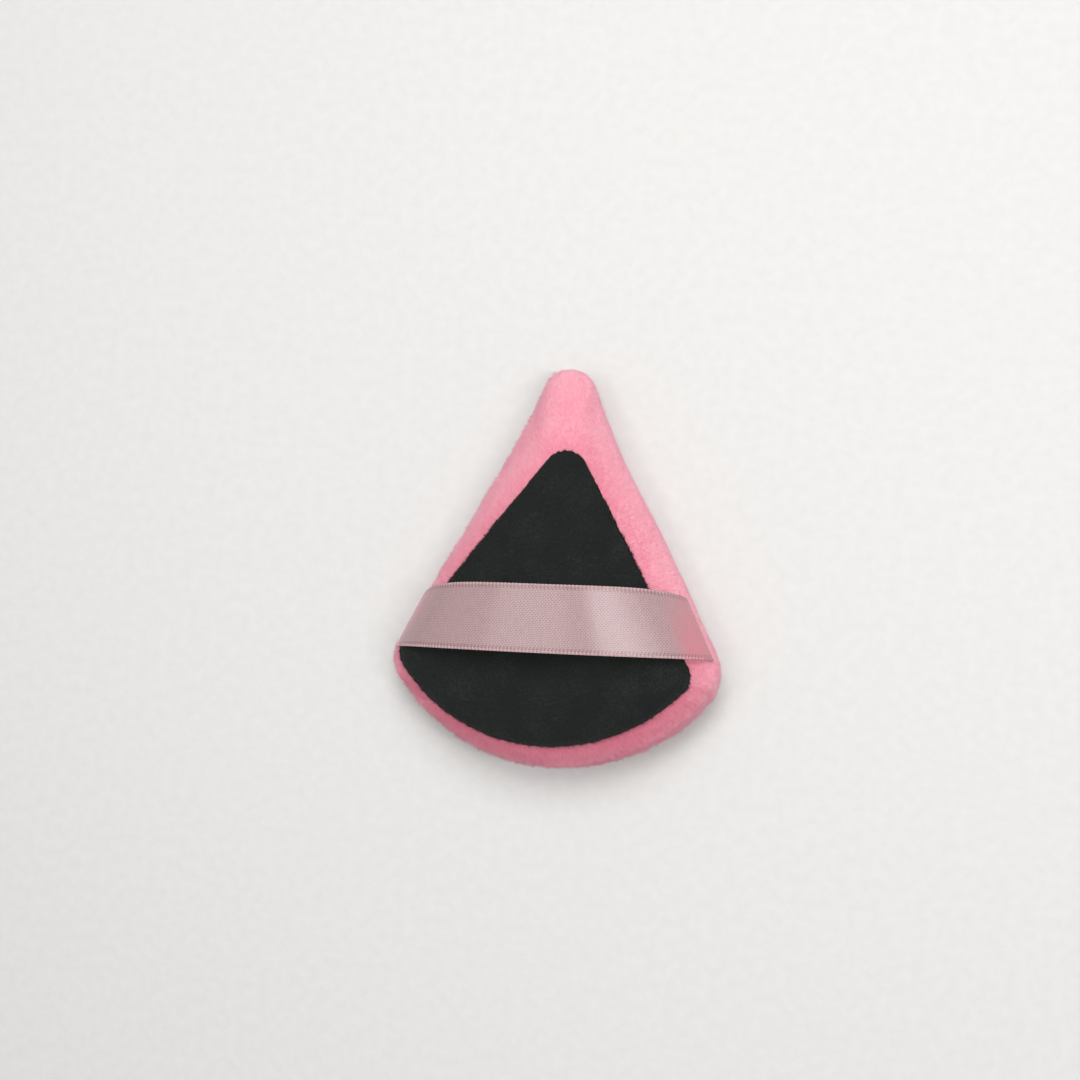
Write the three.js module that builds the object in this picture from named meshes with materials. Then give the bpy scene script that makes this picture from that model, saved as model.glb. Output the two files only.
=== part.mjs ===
// Powder puff with a satin finger strap, in millimetres.
// It lies on its velour face with the strap on top. +Z is up, +Y points to the tip, and +X lies to the right
// when the puff is seen from above. The origin is under the middle of the outline, on the surface it lies on.

import * as THREE from "three";

const radians = THREE.MathUtils.degToRad;

// Outline of the velour covers, seen from above: a triangle with a bowed base
const COVER_LENGTH = 90; // lowest point of the base to the tip
const COVER_WIDTH = 74.8; // across the two corners
const TIP_RADIUS = 6;
const CORNER_RADIUS = 9;
const CORNER_HEIGHT = 23.5; // level of the corners above the base
const TIP_LEAN = radians(23); // lean of the sides beside the tip
const CORNER_LEAN = radians(25); // lean of the sides beside the corners

// Padding of the puff
const WIDEST_LEVEL = 8.5; // height of the widest level above the surface
const BACK_RISE = 9; // crown of the back above the widest level
const FACE_FLATTENING = 0.8; // part of the face's crown that is pressed flat where it lies
const PLUMPNESS = 5; // power of the padding's section: 2 is an ellipse, and more fills the edges out
const CROWN_FROM_BASE = 34.5; // the highest point, under the middle of the strap

// Velour covers, and the turned-in edges of the seam that joins them
const COVER_FABRIC = 1.4;
const SEAM_HEIGHT = 3; // mouth of the seam above the widest level
const SEAM_LEAN = radians(35); // the turned-in edges point inwards and down
const SEAM_ALLOWANCE = 3.5; // depth of the turned-in edges
const ALLOWANCE_FABRIC = 0.7; // the pile is crushed there
const SEAM_FOLD = 0.8; // how far the fabric rounds over into the seam

// Sewing thread
const THREAD = 0.35;
const SEAM_LINE = 1.2; // depth of the machine seam behind the seam's mouth
const CLOSING_LENGTH = 32; // stretch of the base that is closed by hand after filling
const CLOSING_STITCH = 2; // from one turn of the hand stitch to the next
const CLOSING_DEPTH = 1; // depth of the hand stitch
const TACK_LENGTH = 12; // zigzag that locks each end of the strap
const TACK_STITCH = 1.2;
const TACK_DEPTH = 0.8;
const TACK_SPACING = 0.9; // from the machine seam to the tack

// Velvet panel on the back, and the film that bonds it
const PANEL_SIDE_MARGIN = 4.4; // from the corners of the cover to the corners of the panel
const PANEL_BASE_MARGIN = 5.6;
const PANEL_TIP_MARGIN = 18.8;
const PANEL_TIP_RADIUS = 4.4;
const PANEL_CORNER_RADIUS = 5;
const PANEL_CORNER_HEIGHT = 18.8;
const PANEL_LEAN = radians(34);
const PANEL_TURN = radians(-4); // the panel is laid on by hand, a little askew
const PANEL_FABRIC = 1.4;
const PANEL_ROUNDING = 0.9; // the pile falls away at the cut edge
const BOND_FILM = 0.2;
const BOND_MARGIN = 1.5; // the film stops short of the panel's edge

// Ribbon strap, sewn in at both ends and arched over the panel
const RIBBON_WIDTH = 15;
const RIBBON_THICKNESS = 0.35;
const RIBBON_TAIL = 3.2; // length caught in the seam
const STRAP_GAP = 5.4; // room for a fingertip over the panel
const STRAP_FOLD = 1.2; // height of the turn from the seam into the arch
const STRAP_RISE = radians(60); // slope of the strap after that turn
const STRAP_REACH = 8.5; // stiffness of that slope
const STRAP_FLAT = 0.6; // share of the half span that runs nearly level

// Room left between pieces that lie against each other
const LAYER_CLEARANCE = 0.2;
const SEAM_CLEARANCE = 0.25;
const CORE_CLEARANCE = 0.3;

const CROWN = new THREE.Vector2(0, CROWN_FROM_BASE - COVER_LENGTH / 2);
const FACE_DROP = WIDEST_LEVEL + FACE_FLATTENING;
const SEAM_LEVEL = WIDEST_LEVEL + SEAM_HEIGHT;
const SEAM_GAP = RIBBON_THICKNESS + THREAD + 3 * SEAM_CLEARANCE;
const SEAM_LIP = SEAM_GAP / 2 / Math.cos(SEAM_LEAN);
const RIBBON_LANE = SEAM_GAP / 2 - SEAM_CLEARANCE - RIBBON_THICKNESS / 2;
const THREAD_LANE = THREAD / 2 + SEAM_CLEARANCE - SEAM_GAP / 2;
const PANEL_SEAT = 2 * LAYER_CLEARANCE + BOND_FILM;
const NEAR_CROWN = radians(84); // last ring before the crown
const PATCH_SHARES = [0.35, 0.6, 0.78, 0.9, 1]; // rings of the panel and its film, from the crown outwards

const COVER_SHAPE = {
  length: COVER_LENGTH,
  width: COVER_WIDTH,
  tipRadius: TIP_RADIUS,
  cornerRadius: CORNER_RADIUS,
  cornerHeight: CORNER_HEIGHT,
  tipLean: TIP_LEAN,
  cornerLean: CORNER_LEAN,
  steps: { base: 10, corner: 6, side: 12, tip: 5 },
};

const PANEL_SHAPE = {
  length: COVER_LENGTH - PANEL_TIP_MARGIN - PANEL_BASE_MARGIN,
  width: COVER_WIDTH - 2 * PANEL_SIDE_MARGIN,
  tipRadius: PANEL_TIP_RADIUS,
  cornerRadius: PANEL_CORNER_RADIUS,
  cornerHeight: PANEL_CORNER_HEIGHT,
  tipLean: PANEL_LEAN,
  cornerLean: PANEL_LEAN,
  steps: { base: 8, corner: 4, side: 9, tip: 3 },
};

const FINISHES = {
  velour: new THREE.MeshStandardMaterial({ color: 0xf2a3b3, roughness: 0.95, metalness: 0 }),
  velvet: new THREE.MeshStandardMaterial({ color: 0x1b1d1b, roughness: 0.95, metalness: 0 }),
  satin: new THREE.MeshStandardMaterial({ color: 0xcfabad, roughness: 0.45, metalness: 0 }),
  latexFoam: new THREE.MeshStandardMaterial({ color: 0xf4ead9, roughness: 0.9, metalness: 0 }),
  film: new THREE.MeshStandardMaterial({ color: 0xe9e5dc, roughness: 0.5, metalness: 0 }),
  thread: new THREE.MeshStandardMaterial({ color: 0xe79dae, roughness: 0.7, metalness: 0 }),
};

// Evenly spaced numbers, both ends included
function spread(from, to, count) {
  return Array.from({ length: count }, (_, k) => from + ((to - from) * k) / (count - 1));
}

// Right half of a triangle with round corners, set in from its edge, from the middle of its base to its tip
function halfTriangle(shape, inset) {
  const { cornerRadius, cornerHeight, tipRadius, tipLean, cornerLean, steps } = shape;
  const base = -shape.length / 2;
  const cornerX = shape.width / 2 - cornerRadius;
  const bowSquares = cornerX ** 2 + cornerHeight ** 2 - cornerRadius ** 2;
  const bowRadius = bowSquares / (2 * (cornerHeight - cornerRadius));
  const bowEnd = Math.atan2(cornerHeight - bowRadius, cornerX);
  const arc = (x, y, radius, from, to) => new THREE.EllipseCurve(x, y, radius - inset, radius - inset, from, to);
  const baseArc = arc(0, base + bowRadius, bowRadius, -Math.PI / 2, bowEnd);
  const cornerArc = arc(cornerX, base + cornerHeight, cornerRadius, bowEnd, cornerLean);
  const tipArc = arc(0, shape.length / 2 - tipRadius, tipRadius, tipLean, Math.PI / 2);
  const from = cornerArc.getPoint(1);
  const to = tipArc.getPoint(0);
  const handle = from.distanceTo(to) / 3;
  const lean = (angle, length) => new THREE.Vector2(-Math.sin(angle), Math.cos(angle)).multiplyScalar(length);
  const side = new THREE.CubicBezierCurve(
    from,
    lean(cornerLean, handle).add(from),
    lean(tipLean, -handle).add(to),
    to,
  );
  return [
    ...baseArc.getPoints(steps.base).slice(0, -1),
    ...cornerArc.getPoints(steps.corner).slice(0, -1),
    ...side.getPoints(steps.side).slice(0, -1),
    ...tipArc.getPoints(steps.tip),
  ];
}

// Whole outline, anticlockwise from the middle of the base
function triangle(shape, inset) {
  const half = halfTriangle(shape, inset);
  const mirrored = half.slice(1, -1).reverse();
  return [...half, ...mirrored.map((point) => new THREE.Vector2(-point.x, point.y))];
}

function panelOutline(inset) {
  const middle = new THREE.Vector2(0, (PANEL_BASE_MARGIN - PANEL_TIP_MARGIN) / 2);
  const origin = new THREE.Vector2();
  return triangle(PANEL_SHAPE, inset).map((point) => point.rotateAround(origin, PANEL_TURN).add(middle));
}

// Level ring over an outline that is drawn in towards the crown
function levelRing(outline, share, height) {
  return outline.map((point) => {
    const drawn = point.clone().sub(CROWN).multiplyScalar(share).add(CROWN);
    return new THREE.Vector3(drawn.x, drawn.y, height);
  });
}

// The padding's section is a squared ellipse: share ** PLUMPNESS + sin(angle) ** 2 = 1
function shareAt(angle) {
  return Math.cos(angle) ** (2 / PLUMPNESS);
}

// Rings on a layer of the back or the face that lies a little inside the covers' outer side
function backRing(angle, inset) {
  const height = WIDEST_LEVEL + (BACK_RISE - inset) * Math.sin(angle);
  return levelRing(triangle(COVER_SHAPE, inset), shareAt(angle), height);
}

function faceRing(angle, inset) {
  const height = WIDEST_LEVEL - (FACE_DROP - inset) * Math.sin(angle);
  return levelRing(triangle(COVER_SHAPE, inset), shareAt(angle), height);
}

function backAngle(height, inset) {
  return Math.asin((height - WIDEST_LEVEL) / (BACK_RISE - inset));
}

function faceAngle(height, inset) {
  return Math.asin((WIDEST_LEVEL - height) / (FACE_DROP - inset));
}

function crownPoint(height) {
  return new THREE.Vector3(CROWN.x, CROWN.y, height);
}

// Ring in the seam, at a depth behind its mouth and a place across its gap
function seamRing(depth, across) {
  const share = shareAt(backAngle(SEAM_LEVEL, 0));
  const height = SEAM_LEVEL - depth * Math.tan(SEAM_LEAN) + across / Math.cos(SEAM_LEAN);
  return levelRing(triangle(COVER_SHAPE, depth), share, height);
}

// Closed body through rings of equally many points, with a fan to a middle point at each end
function loft(start, rings, end) {
  const size = rings[0].length;
  const points = [...rings.flat(), start, end];
  const first = points.length - 2;
  const last = points.length - 1;
  const top = (rings.length - 1) * size;
  const faces = [];
  for (let k = 0; k < size; k += 1) {
    const next = (k + 1) % size;
    faces.push([first, next, k], [last, top + k, top + next]);
    for (let row = 0; row < top; row += size) {
      faces.push([row + k, row + next, row + size + next], [row + k, row + size + next, row + size + k]);
    }
  }
  const volume = faces.reduce((sum, [a, b, c]) => {
    return sum + points[a].dot(new THREE.Vector3().crossVectors(points[b], points[c]));
  }, 0);
  const outward = volume > 0 ? faces : faces.map(([a, b, c]) => [a, c, b]);
  const geometry = new THREE.BufferGeometry().setFromPoints(points);
  geometry.setIndex(outward.flat());
  geometry.computeVertexNormals();
  return geometry;
}

function mean(points) {
  const sum = points.reduce((total, point) => total.add(point), new THREE.Vector3());
  return sum.divideScalar(points.length);
}

// Face and sides of the puff: a dish of velour whose rim turns into the seam
function faceCover() {
  const rim = backAngle(SEAM_LEVEL - SEAM_LIP - SEAM_FOLD, 0);
  const innerRim = SEAM_LEVEL - SEAM_LIP - ALLOWANCE_FABRIC / Math.cos(SEAM_LEAN) - SEAM_FOLD;
  const flat = faceAngle(0, 0);
  const innerFlat = faceAngle(COVER_FABRIC, COVER_FABRIC);
  return loft(
    crownPoint(0),
    [
      ...spread(flat, 0, 6).map((angle) => faceRing(angle, 0)),
      backRing(rim, 0),
      seamRing(SEAM_FOLD, -SEAM_GAP / 2),
      seamRing(SEAM_ALLOWANCE, -SEAM_GAP / 2),
      seamRing(SEAM_ALLOWANCE, -SEAM_GAP / 2 - ALLOWANCE_FABRIC),
      backRing(backAngle(innerRim, COVER_FABRIC), COVER_FABRIC),
      ...spread(0, innerFlat, 6).map((angle) => faceRing(angle, COVER_FABRIC)),
    ],
    crownPoint(COVER_FABRIC),
  );
}

// Back of the puff: a dome of velour whose rim turns into the same seam
function backCover() {
  const rim = SEAM_LEVEL + SEAM_LIP + SEAM_FOLD;
  return loft(
    crownPoint(WIDEST_LEVEL + BACK_RISE),
    [
      ...spread(NEAR_CROWN, backAngle(rim, 0), 7).map((angle) => backRing(angle, 0)),
      seamRing(SEAM_FOLD, SEAM_GAP / 2),
      seamRing(SEAM_ALLOWANCE, SEAM_GAP / 2),
      seamRing(SEAM_ALLOWANCE, SEAM_GAP / 2 + ALLOWANCE_FABRIC),
      seamRing(COVER_FABRIC + SEAM_FOLD, SEAM_GAP / 2 + ALLOWANCE_FABRIC),
      ...spread(backAngle(rim, COVER_FABRIC), NEAR_CROWN, 6).map((angle) => backRing(angle, COVER_FABRIC)),
    ],
    crownPoint(WIDEST_LEVEL + BACK_RISE - COVER_FABRIC),
  );
}

// Foam pad inside the covers, drawn in round its side where it gives way to the turned-in edges
function foamCore() {
  const inset = COVER_FABRIC + CORE_CLEARANCE;
  const waist = SEAM_GAP / 2 + ALLOWANCE_FABRIC + CORE_CLEARANCE;
  const waistDepth = SEAM_ALLOWANCE + CORE_CLEARANCE;
  const lower = SEAM_LEVEL - waist / Math.cos(SEAM_LEAN) - COVER_FABRIC * Math.tan(SEAM_LEAN) - SEAM_FOLD;
  const upper = SEAM_LEVEL + SEAM_LIP + SEAM_FOLD;
  return loft(
    crownPoint(inset),
    [
      ...spread(faceAngle(inset, inset), faceAngle(lower, inset), 6).map((angle) => faceRing(angle, inset)),
      seamRing(waistDepth, -waist),
      seamRing(waistDepth, waist),
      seamRing(COVER_FABRIC + 2 * SEAM_FOLD, waist),
      ...spread(backAngle(upper, inset), NEAR_CROWN, 6).map((angle) => backRing(angle, inset)),
    ],
    crownPoint(WIDEST_LEVEL + BACK_RISE - inset),
  );
}

// Distance from the crown to the covers' outline, through a point
function reachThrough(point) {
  const ray = point.clone().sub(CROWN);
  const outline = triangle(COVER_SHAPE, 0).map((corner) => corner.sub(CROWN));
  const crossings = outline.map((from, k) => {
    const edge = outline[(k + 1) % outline.length].clone().sub(from);
    const along = from.cross(ray) / ray.cross(edge);
    const distance = from.cross(edge) / ray.cross(edge);
    return along >= 0 && along <= 1 && distance > 0 ? distance : Infinity;
  });
  return Math.min(...crossings) * ray.length();
}

// Point that stands above the back cover
function onBack(point, above) {
  const share = point.distanceTo(CROWN) / reachThrough(point);
  const height = WIDEST_LEVEL + BACK_RISE * Math.sqrt(1 - share ** PLUMPNESS) + above;
  return new THREE.Vector3(point.x, point.y, height);
}

// Ring on the back cover, along an outline drawn in towards the crown
function patchRing(outline, share, above) {
  return outline.map((point) => {
    return onBack(point.clone().sub(CROWN).multiplyScalar(share).add(CROWN), above);
  });
}

function bondFilm() {
  const outline = panelOutline(BOND_MARGIN);
  const under = LAYER_CLEARANCE;
  const over = LAYER_CLEARANCE + BOND_FILM;
  return loft(
    crownPoint(WIDEST_LEVEL + BACK_RISE + under),
    [
      ...PATCH_SHARES.map((share) => patchRing(outline, share, under)),
      ...PATCH_SHARES.toReversed().map((share) => patchRing(outline, share, over)),
    ],
    crownPoint(WIDEST_LEVEL + BACK_RISE + over),
  );
}

function backPanel() {
  const outline = panelOutline(0);
  const shoulder = panelOutline(PANEL_ROUNDING);
  const top = PANEL_SEAT + PANEL_FABRIC;
  return loft(
    crownPoint(WIDEST_LEVEL + BACK_RISE + PANEL_SEAT),
    [
      ...PATCH_SHARES.map((share) => patchRing(outline, share, PANEL_SEAT)),
      patchRing(outline, 1, PANEL_SEAT + PANEL_FABRIC / 2),
      ...PATCH_SHARES.toReversed().map((share) => patchRing(shoulder, share, top)),
    ],
    crownPoint(WIDEST_LEVEL + BACK_RISE + top),
  );
}

// Place along the right half of a ring where it reaches a level towards the tip
function placeAt(ring, y) {
  const k = ring.findIndex((point, index) => point.y <= y && ring[index + 1].y > y);
  return k + (y - ring[k].y) / (ring[k + 1].y - ring[k].y);
}

// Point of a ring at a place between its corners
function alongRing(ring, place) {
  const size = ring.length;
  const from = Math.floor(place);
  return ring[(from + size) % size].clone().lerp(ring[(from + 1 + size) % size], place - from);
}

// One lengthwise line of the strap: across the puff from seam to seam, as x and z
function strapLine(y) {
  const inSeam = (depth) => {
    const ring = seamRing(depth, RIBBON_LANE);
    const point = alongRing(ring, placeAt(ring, y));
    return new THREE.Vector2(point.x, point.z);
  };
  const tail = [RIBBON_TAIL, RIBBON_TAIL / 2, 0].map(inSeam);
  const mouth = tail.at(-1);
  const outward = new THREE.Vector2(Math.cos(SEAM_LEAN), Math.sin(SEAM_LEAN));
  const bend = outward.multiplyScalar(STRAP_FOLD / 3).add(mouth);
  const leave = new THREE.Vector2(0, STRAP_FOLD).add(mouth);
  const slope = new THREE.Vector2(-Math.cos(STRAP_RISE), Math.sin(STRAP_RISE)).multiplyScalar(STRAP_REACH);
  const crown = WIDEST_LEVEL + BACK_RISE + PANEL_SEAT + PANEL_FABRIC + STRAP_GAP + RIBBON_THICKNESS / 2;
  const arch = new THREE.CubicBezierCurve(
    leave,
    slope.add(leave),
    new THREE.Vector2(leave.x * STRAP_FLAT, crown),
    new THREE.Vector2(0, crown),
  );
  const right = [...tail, bend, ...arch.getPoints(12)];
  const left = right.slice(0, -1).map((point) => new THREE.Vector2(-point.x, point.y));
  return [...right, ...left.reverse()];
}

// The same line moved to one side of the ribbon's thickness
function offsetLine(line, offset) {
  return line.map((point, k) => {
    const before = line[Math.max(k - 1, 0)];
    const after = line[Math.min(k + 1, line.length - 1)];
    const across = after.clone().sub(before).normalize().rotateAround(new THREE.Vector2(), Math.PI / 2);
    return across.multiplyScalar(offset).add(point);
  });
}

function ribbonStrap() {
  const levels = spread(CROWN.y - RIBBON_WIDTH / 2, CROWN.y + RIBBON_WIDTH / 2, 5);
  const side = (offset) => levels.map((y) => {
    return offsetLine(strapLine(y), offset).map((point) => new THREE.Vector3(point.x, y, point.y));
  });
  const over = side(-RIBBON_THICKNESS / 2);
  const under = side(RIBBON_THICKNESS / 2).reverse();
  const rings = over[0].map((_, k) => [...over, ...under].map((line) => line[k]));
  return loft(mean(rings[0]), rings, mean(rings.at(-1)));
}

// Round thread along a smooth line through points
function threadAlong(points, stepsPerPoint) {
  const sides = 6;
  const corners = Array.from({ length: sides }, (_, k) => {
    const angle = (2 * Math.PI * k) / sides;
    return new THREE.Vector2(Math.cos(angle), Math.sin(angle)).multiplyScalar(THREAD / 2);
  });
  return new THREE.ExtrudeGeometry(new THREE.Shape(corners), {
    steps: (points.length - 1) * stepsPerPoint,
    extrudePath: new THREE.CatmullRomCurve3(points),
    bevelEnabled: false,
  });
}

// Place on the base where the hand-closed stretch ends
function closingEnd() {
  const ring = seamRing(SEAM_LINE, THREAD_LANE);
  const k = ring.findIndex((point) => point.x > CLOSING_LENGTH / 2);
  return k - 1 + (CLOSING_LENGTH / 2 - ring[k - 1].x) / (ring[k].x - ring[k - 1].x);
}

// Machine seam from one end of the hand-closed stretch round the tip to the other
function edgeSeam() {
  const ring = seamRing(SEAM_LINE, THREAD_LANE);
  const from = closingEnd();
  const places = spread(from, ring.length - from, ring.length);
  return threadAlong(places.map((place) => alongRing(ring, place)), 1);
}

// Zigzag thread between two depths of the seam
function zigzag(from, to, turns, near, far) {
  const rings = [near, far].map((depth) => seamRing(depth, THREAD_LANE));
  return spread(from, to, turns).map((place, k) => alongRing(rings[k % 2], place));
}

function closingSeam() {
  const turns = Math.round(CLOSING_LENGTH / CLOSING_STITCH);
  const end = closingEnd() * (1 - 1 / turns);
  return threadAlong(zigzag(-end, end, turns, SEAM_LINE - CLOSING_DEPTH / 2, SEAM_LINE + CLOSING_DEPTH / 2), 3);
}

function strapTack(side) {
  const ring = seamRing(SEAM_LINE, THREAD_LANE);
  const ends = [-TACK_LENGTH / 2, TACK_LENGTH / 2].map((y) => placeAt(ring, CROWN.y + y));
  const near = SEAM_LINE + TACK_SPACING;
  const points = zigzag(...ends, Math.round(TACK_LENGTH / TACK_STITCH), near, near + TACK_DEPTH);
  return threadAlong(points.map((point) => new THREE.Vector3(side * point.x, point.y, point.z)), 3);
}

function piece(name, geometry, finish) {
  const mesh = new THREE.Mesh(geometry, finish);
  mesh.name = name;
  return mesh;
}

const puff = new THREE.Group();
puff.add(
  piece("face_cover", faceCover(), FINISHES.velour),
  piece("back_cover", backCover(), FINISHES.velour),
  piece("foam_core", foamCore(), FINISHES.latexFoam),
  piece("panel_bond_film", bondFilm(), FINISHES.film),
  piece("back_panel", backPanel(), FINISHES.velvet),
  piece("ribbon_strap", ribbonStrap(), FINISHES.satin),
  piece("edge_seam_thread", edgeSeam(), FINISHES.thread),
  piece("closing_seam_thread", closingSeam(), FINISHES.thread),
  piece("left_strap_tack", strapTack(-1), FINISHES.thread),
  piece("right_strap_tack", strapTack(1), FINISHES.thread),
);

export default puff;
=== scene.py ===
"""Looks of a powder puff with a satin finger strap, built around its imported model.

Sizes are in metres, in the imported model's frame: +Z is up, +Y points to the tip of the puff, and it lies on
its velour face with the strap on top. Angles are in radians.
"""

import logging
import math
from dataclasses import dataclass, replace
from enum import Enum
from typing import ClassVar

import bpy
import numpy as np
from bpy.types import Material, Mesh, Node, NodeSocket, NodeTree
from bpy.types import Object as Piece
from mathutils import Matrix, Vector


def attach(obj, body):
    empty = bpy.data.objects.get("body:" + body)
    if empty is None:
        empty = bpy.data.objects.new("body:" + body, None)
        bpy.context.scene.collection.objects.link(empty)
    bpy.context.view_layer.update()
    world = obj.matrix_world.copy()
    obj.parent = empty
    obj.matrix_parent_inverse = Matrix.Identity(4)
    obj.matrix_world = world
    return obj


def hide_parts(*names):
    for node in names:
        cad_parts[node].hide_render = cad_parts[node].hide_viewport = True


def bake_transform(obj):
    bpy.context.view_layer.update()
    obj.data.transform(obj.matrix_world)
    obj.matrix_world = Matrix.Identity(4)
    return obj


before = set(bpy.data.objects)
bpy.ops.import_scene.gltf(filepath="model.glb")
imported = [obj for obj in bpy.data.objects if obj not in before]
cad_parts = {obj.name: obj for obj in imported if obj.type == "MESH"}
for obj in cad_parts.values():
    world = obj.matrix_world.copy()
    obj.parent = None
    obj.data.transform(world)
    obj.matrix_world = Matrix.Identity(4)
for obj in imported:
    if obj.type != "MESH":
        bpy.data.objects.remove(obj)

LOG = logging.getLogger("powder_puff")
MM = 0.001
OVER_VELOUR = "velour_behind"  # mark on the strap's points that have velour behind them
Points = np.ndarray
Colour = tuple[float, float, float, float]
Inputs = dict[str | int, object]


class Side(Enum):
    """Half of the puff, seen from above with the tip away from the viewer."""

    LEFT = -1
    RIGHT = 1

    @property
    def word(self) -> str:
        """The side's name in a piece's name."""
        return self.name.lower()


class Region(Enum):
    """Stretch of the pink velour that its pile is grown on by itself."""

    FACE = "face"
    SIDE = "side"
    BACK = "back"


def srgb(*steps: float) -> Colour:
    """Turn a colour in steps of 0 to 255 into the linear values that shaders take.

    Args:
        *steps: Red, green and blue.

    Returns:
        Linear red, green and blue, with full alpha.
    """
    shares = np.array(steps) / 255
    linear = np.where(shares <= 0.04045, shares / 12.92, ((shares + 0.055) / 1.055) ** 2.4)
    return (*(float(value) for value in linear), 1.0)


def smoothstep(low: float, high: float, values: Points) -> Points:
    """Ease values from 0 at low to 1 at high."""
    share = np.clip((values - low) / (high - low), 0, 1)
    return share * share * (3 - 2 * share)


def bell(values: Points, middle: float, width: float, height: float = 1.0) -> Points:
    """Give a smooth hump about a middle."""
    return height * np.exp(-(((values - middle) / width) ** 2))


def unit(vectors: Points) -> Points:
    """Bring vectors to a length of 1."""
    return vectors / np.maximum(np.linalg.norm(vectors, axis=-1, keepdims=True), 1e-12)


def outward(rows: Points) -> Points:
    """Give the outward direction at each point of a grid of closed or open rings."""
    return -unit(np.cross(np.gradient(rows, axis=0), np.gradient(rows, axis=1)))


def wander(points: Points, wavelength: float, seed: int) -> Points:
    """Give a smooth, irregular value at each point.

    Args:
        points: Places, one to a row.
        wavelength: Typical distance between two crests.
        seed: Start of the random draws.

    Returns:
        Values of about -1 to 1.
    """
    waves = 9
    draws = np.random.default_rng(seed)
    total = np.zeros(points.shape[:-1])
    for _ in range(waves):
        direction = draws.normal(size=points.shape[-1])
        direction *= draws.uniform(0.6, 1.4) * 2 * math.pi / wavelength / np.linalg.norm(direction)
        total += np.sin(points @ direction + draws.uniform(0, 2 * math.pi))
    return total / math.sqrt(waves)


def bezier(start: Points, leave: Points, arrive: Points, end: Points, count: int) -> Points:
    """Sample a cubic curve in so many steps, from its ends and their handles."""
    t = np.linspace(0, 1, count + 1)[:, None]
    return (1 - t) ** 3 * start + 3 * (1 - t) ** 2 * t * leave + 3 * (1 - t) * t**2 * arrive + t**3 * end


def rounded(line: Points, times: int) -> Points:
    """Round off the corners of an open line by cutting them.

    Args:
        line: Points of the line, one to a row.
        times: How often each corner is cut.

    Returns:
        A line with more points and the same ends.
    """
    for _ in range(times):
        near = 0.75 * line[:-1] + 0.25 * line[1:]
        far = 0.25 * line[:-1] + 0.75 * line[1:]
        cut = np.stack([near, far], 1).reshape(-1, line.shape[1])
        line = np.concatenate([line[:1], cut[1:-1], line[-1:]])
    return line


def finer_rows(rows: Points, times: int) -> Points:
    """Set smooth rows and columns between those of a grid whose rows are closed rings.

    Args:
        rows: Grid of rings, with ring, place on the ring and coordinate as its axes.
        times: How many steps each step becomes.

    Returns:
        The finer grid.
    """

    def between(a: Points, b: Points, c: Points, d: Points, t: float) -> Points:
        """Follow the smooth curve through b and c, at share t of the way."""
        return b + 0.5 * t * (c - a + t * (2 * a - 5 * b + 4 * c - d + t * (3 * (b - c) + d - a)))

    shares = np.arange(times) / times
    turned = [np.roll(rows, shift, 1) for shift in (1, 0, -1, -2)]
    around = np.stack([between(*turned, t) for t in shares], 2)
    around = around.reshape(rows.shape[0], -1, rows.shape[2])
    padded = np.concatenate([around[:1], around, around[-1:]])
    stretches = [padded[k : len(padded) - 3 + k] for k in range(4)]
    along = np.stack([between(*stretches, t) for t in shares], 1)
    along = along.reshape(-1, *around.shape[1:])
    return np.concatenate([along, around[-1:]])


def reach_through(ring: Points, points: Points) -> Points:
    """Measure how far a closed line lies from the origin, through points.

    Args:
        ring: Points of the line about the origin.
        points: Points that give the directions.

    Returns:
        The distance in each point's direction.
    """
    angles = np.arctan2(ring[:, 1], ring[:, 0])
    order = np.argsort(angles)
    radii = np.linalg.norm(ring, axis=1)[order]
    return np.interp(np.arctan2(points[..., 1], points[..., 0]), angles[order], radii, period=2 * math.pi)


def half_rows(rows: Points, side: Side) -> Points:
    """Take the half of a grid of rings that lies on one side.

    Args:
        rows: The grid, with each ring starting in the middle of the base.
        side: The side.

    Returns:
        Grid of that half.
    """
    closed = np.concatenate([rows, rows[:, :1]], 1)
    middle = rows.shape[1] // 2
    return closed[:, : middle + 1] if side is Side.RIGHT else closed[:, middle:]


def area_of(rows: Points, share: Points) -> float:
    """Measure a grid's area.

    Args:
        rows: Grid of points.
        share: How much each point counts.

    Returns:
        The area.
    """
    diagonals = np.cross(rows[1:, 1:] - rows[:-1, :-1], rows[1:, :-1] - rows[:-1, 1:])
    shares = (share[1:, 1:] + share[:-1, :-1] + share[1:, :-1] + share[:-1, 1:]) / 4
    return float((np.linalg.norm(diagonals, axis=-1) / 2 * shares).sum())


def read(items: object, key: str, width: int = 3, kind: type = np.float64) -> Points:
    """Read a property of a mesh's vertices, loops or the like.

    Args:
        items: The vertices, loops or the like.
        key: Name of the property.
        width: How many numbers it has.
        kind: Type of the numbers.

    Returns:
        The numbers, with a row to each item.
    """
    values = np.zeros(len(items) * width, kind)
    items.foreach_get(key, values)
    return values.reshape(-1, width)


def mark(mesh: Mesh, name: str, values: Points) -> None:
    """Store a number or a vector for each point of a mesh.

    Args:
        mesh: The mesh.
        name: What the values are called.
        values: The numbers or vectors, in the order of the points.
    """
    is_vector = values.size == 3 * len(mesh.vertices)
    kind, key = ("FLOAT_VECTOR", "vector") if is_vector else ("FLOAT", "value")
    mesh.attributes.new(name, kind, "POINT").data.foreach_set(key, values.astype(np.float32).ravel())


def new_mesh(name: str, points: Points, faces: list[tuple[int, ...]], edges: list[tuple[int, int]]) -> Mesh:
    """Make a smooth-shaded mesh.

    Args:
        name: The mesh's name.
        points: Vertices, one to a row.
        faces: Faces as vertex numbers.
        edges: Edges without a face, as vertex numbers.

    Returns:
        The mesh.
    """
    mesh = bpy.data.meshes.new(name)
    mesh.from_pydata(points.tolist(), edges, faces)
    mesh.shade_smooth()
    mesh.update()
    return mesh


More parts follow.
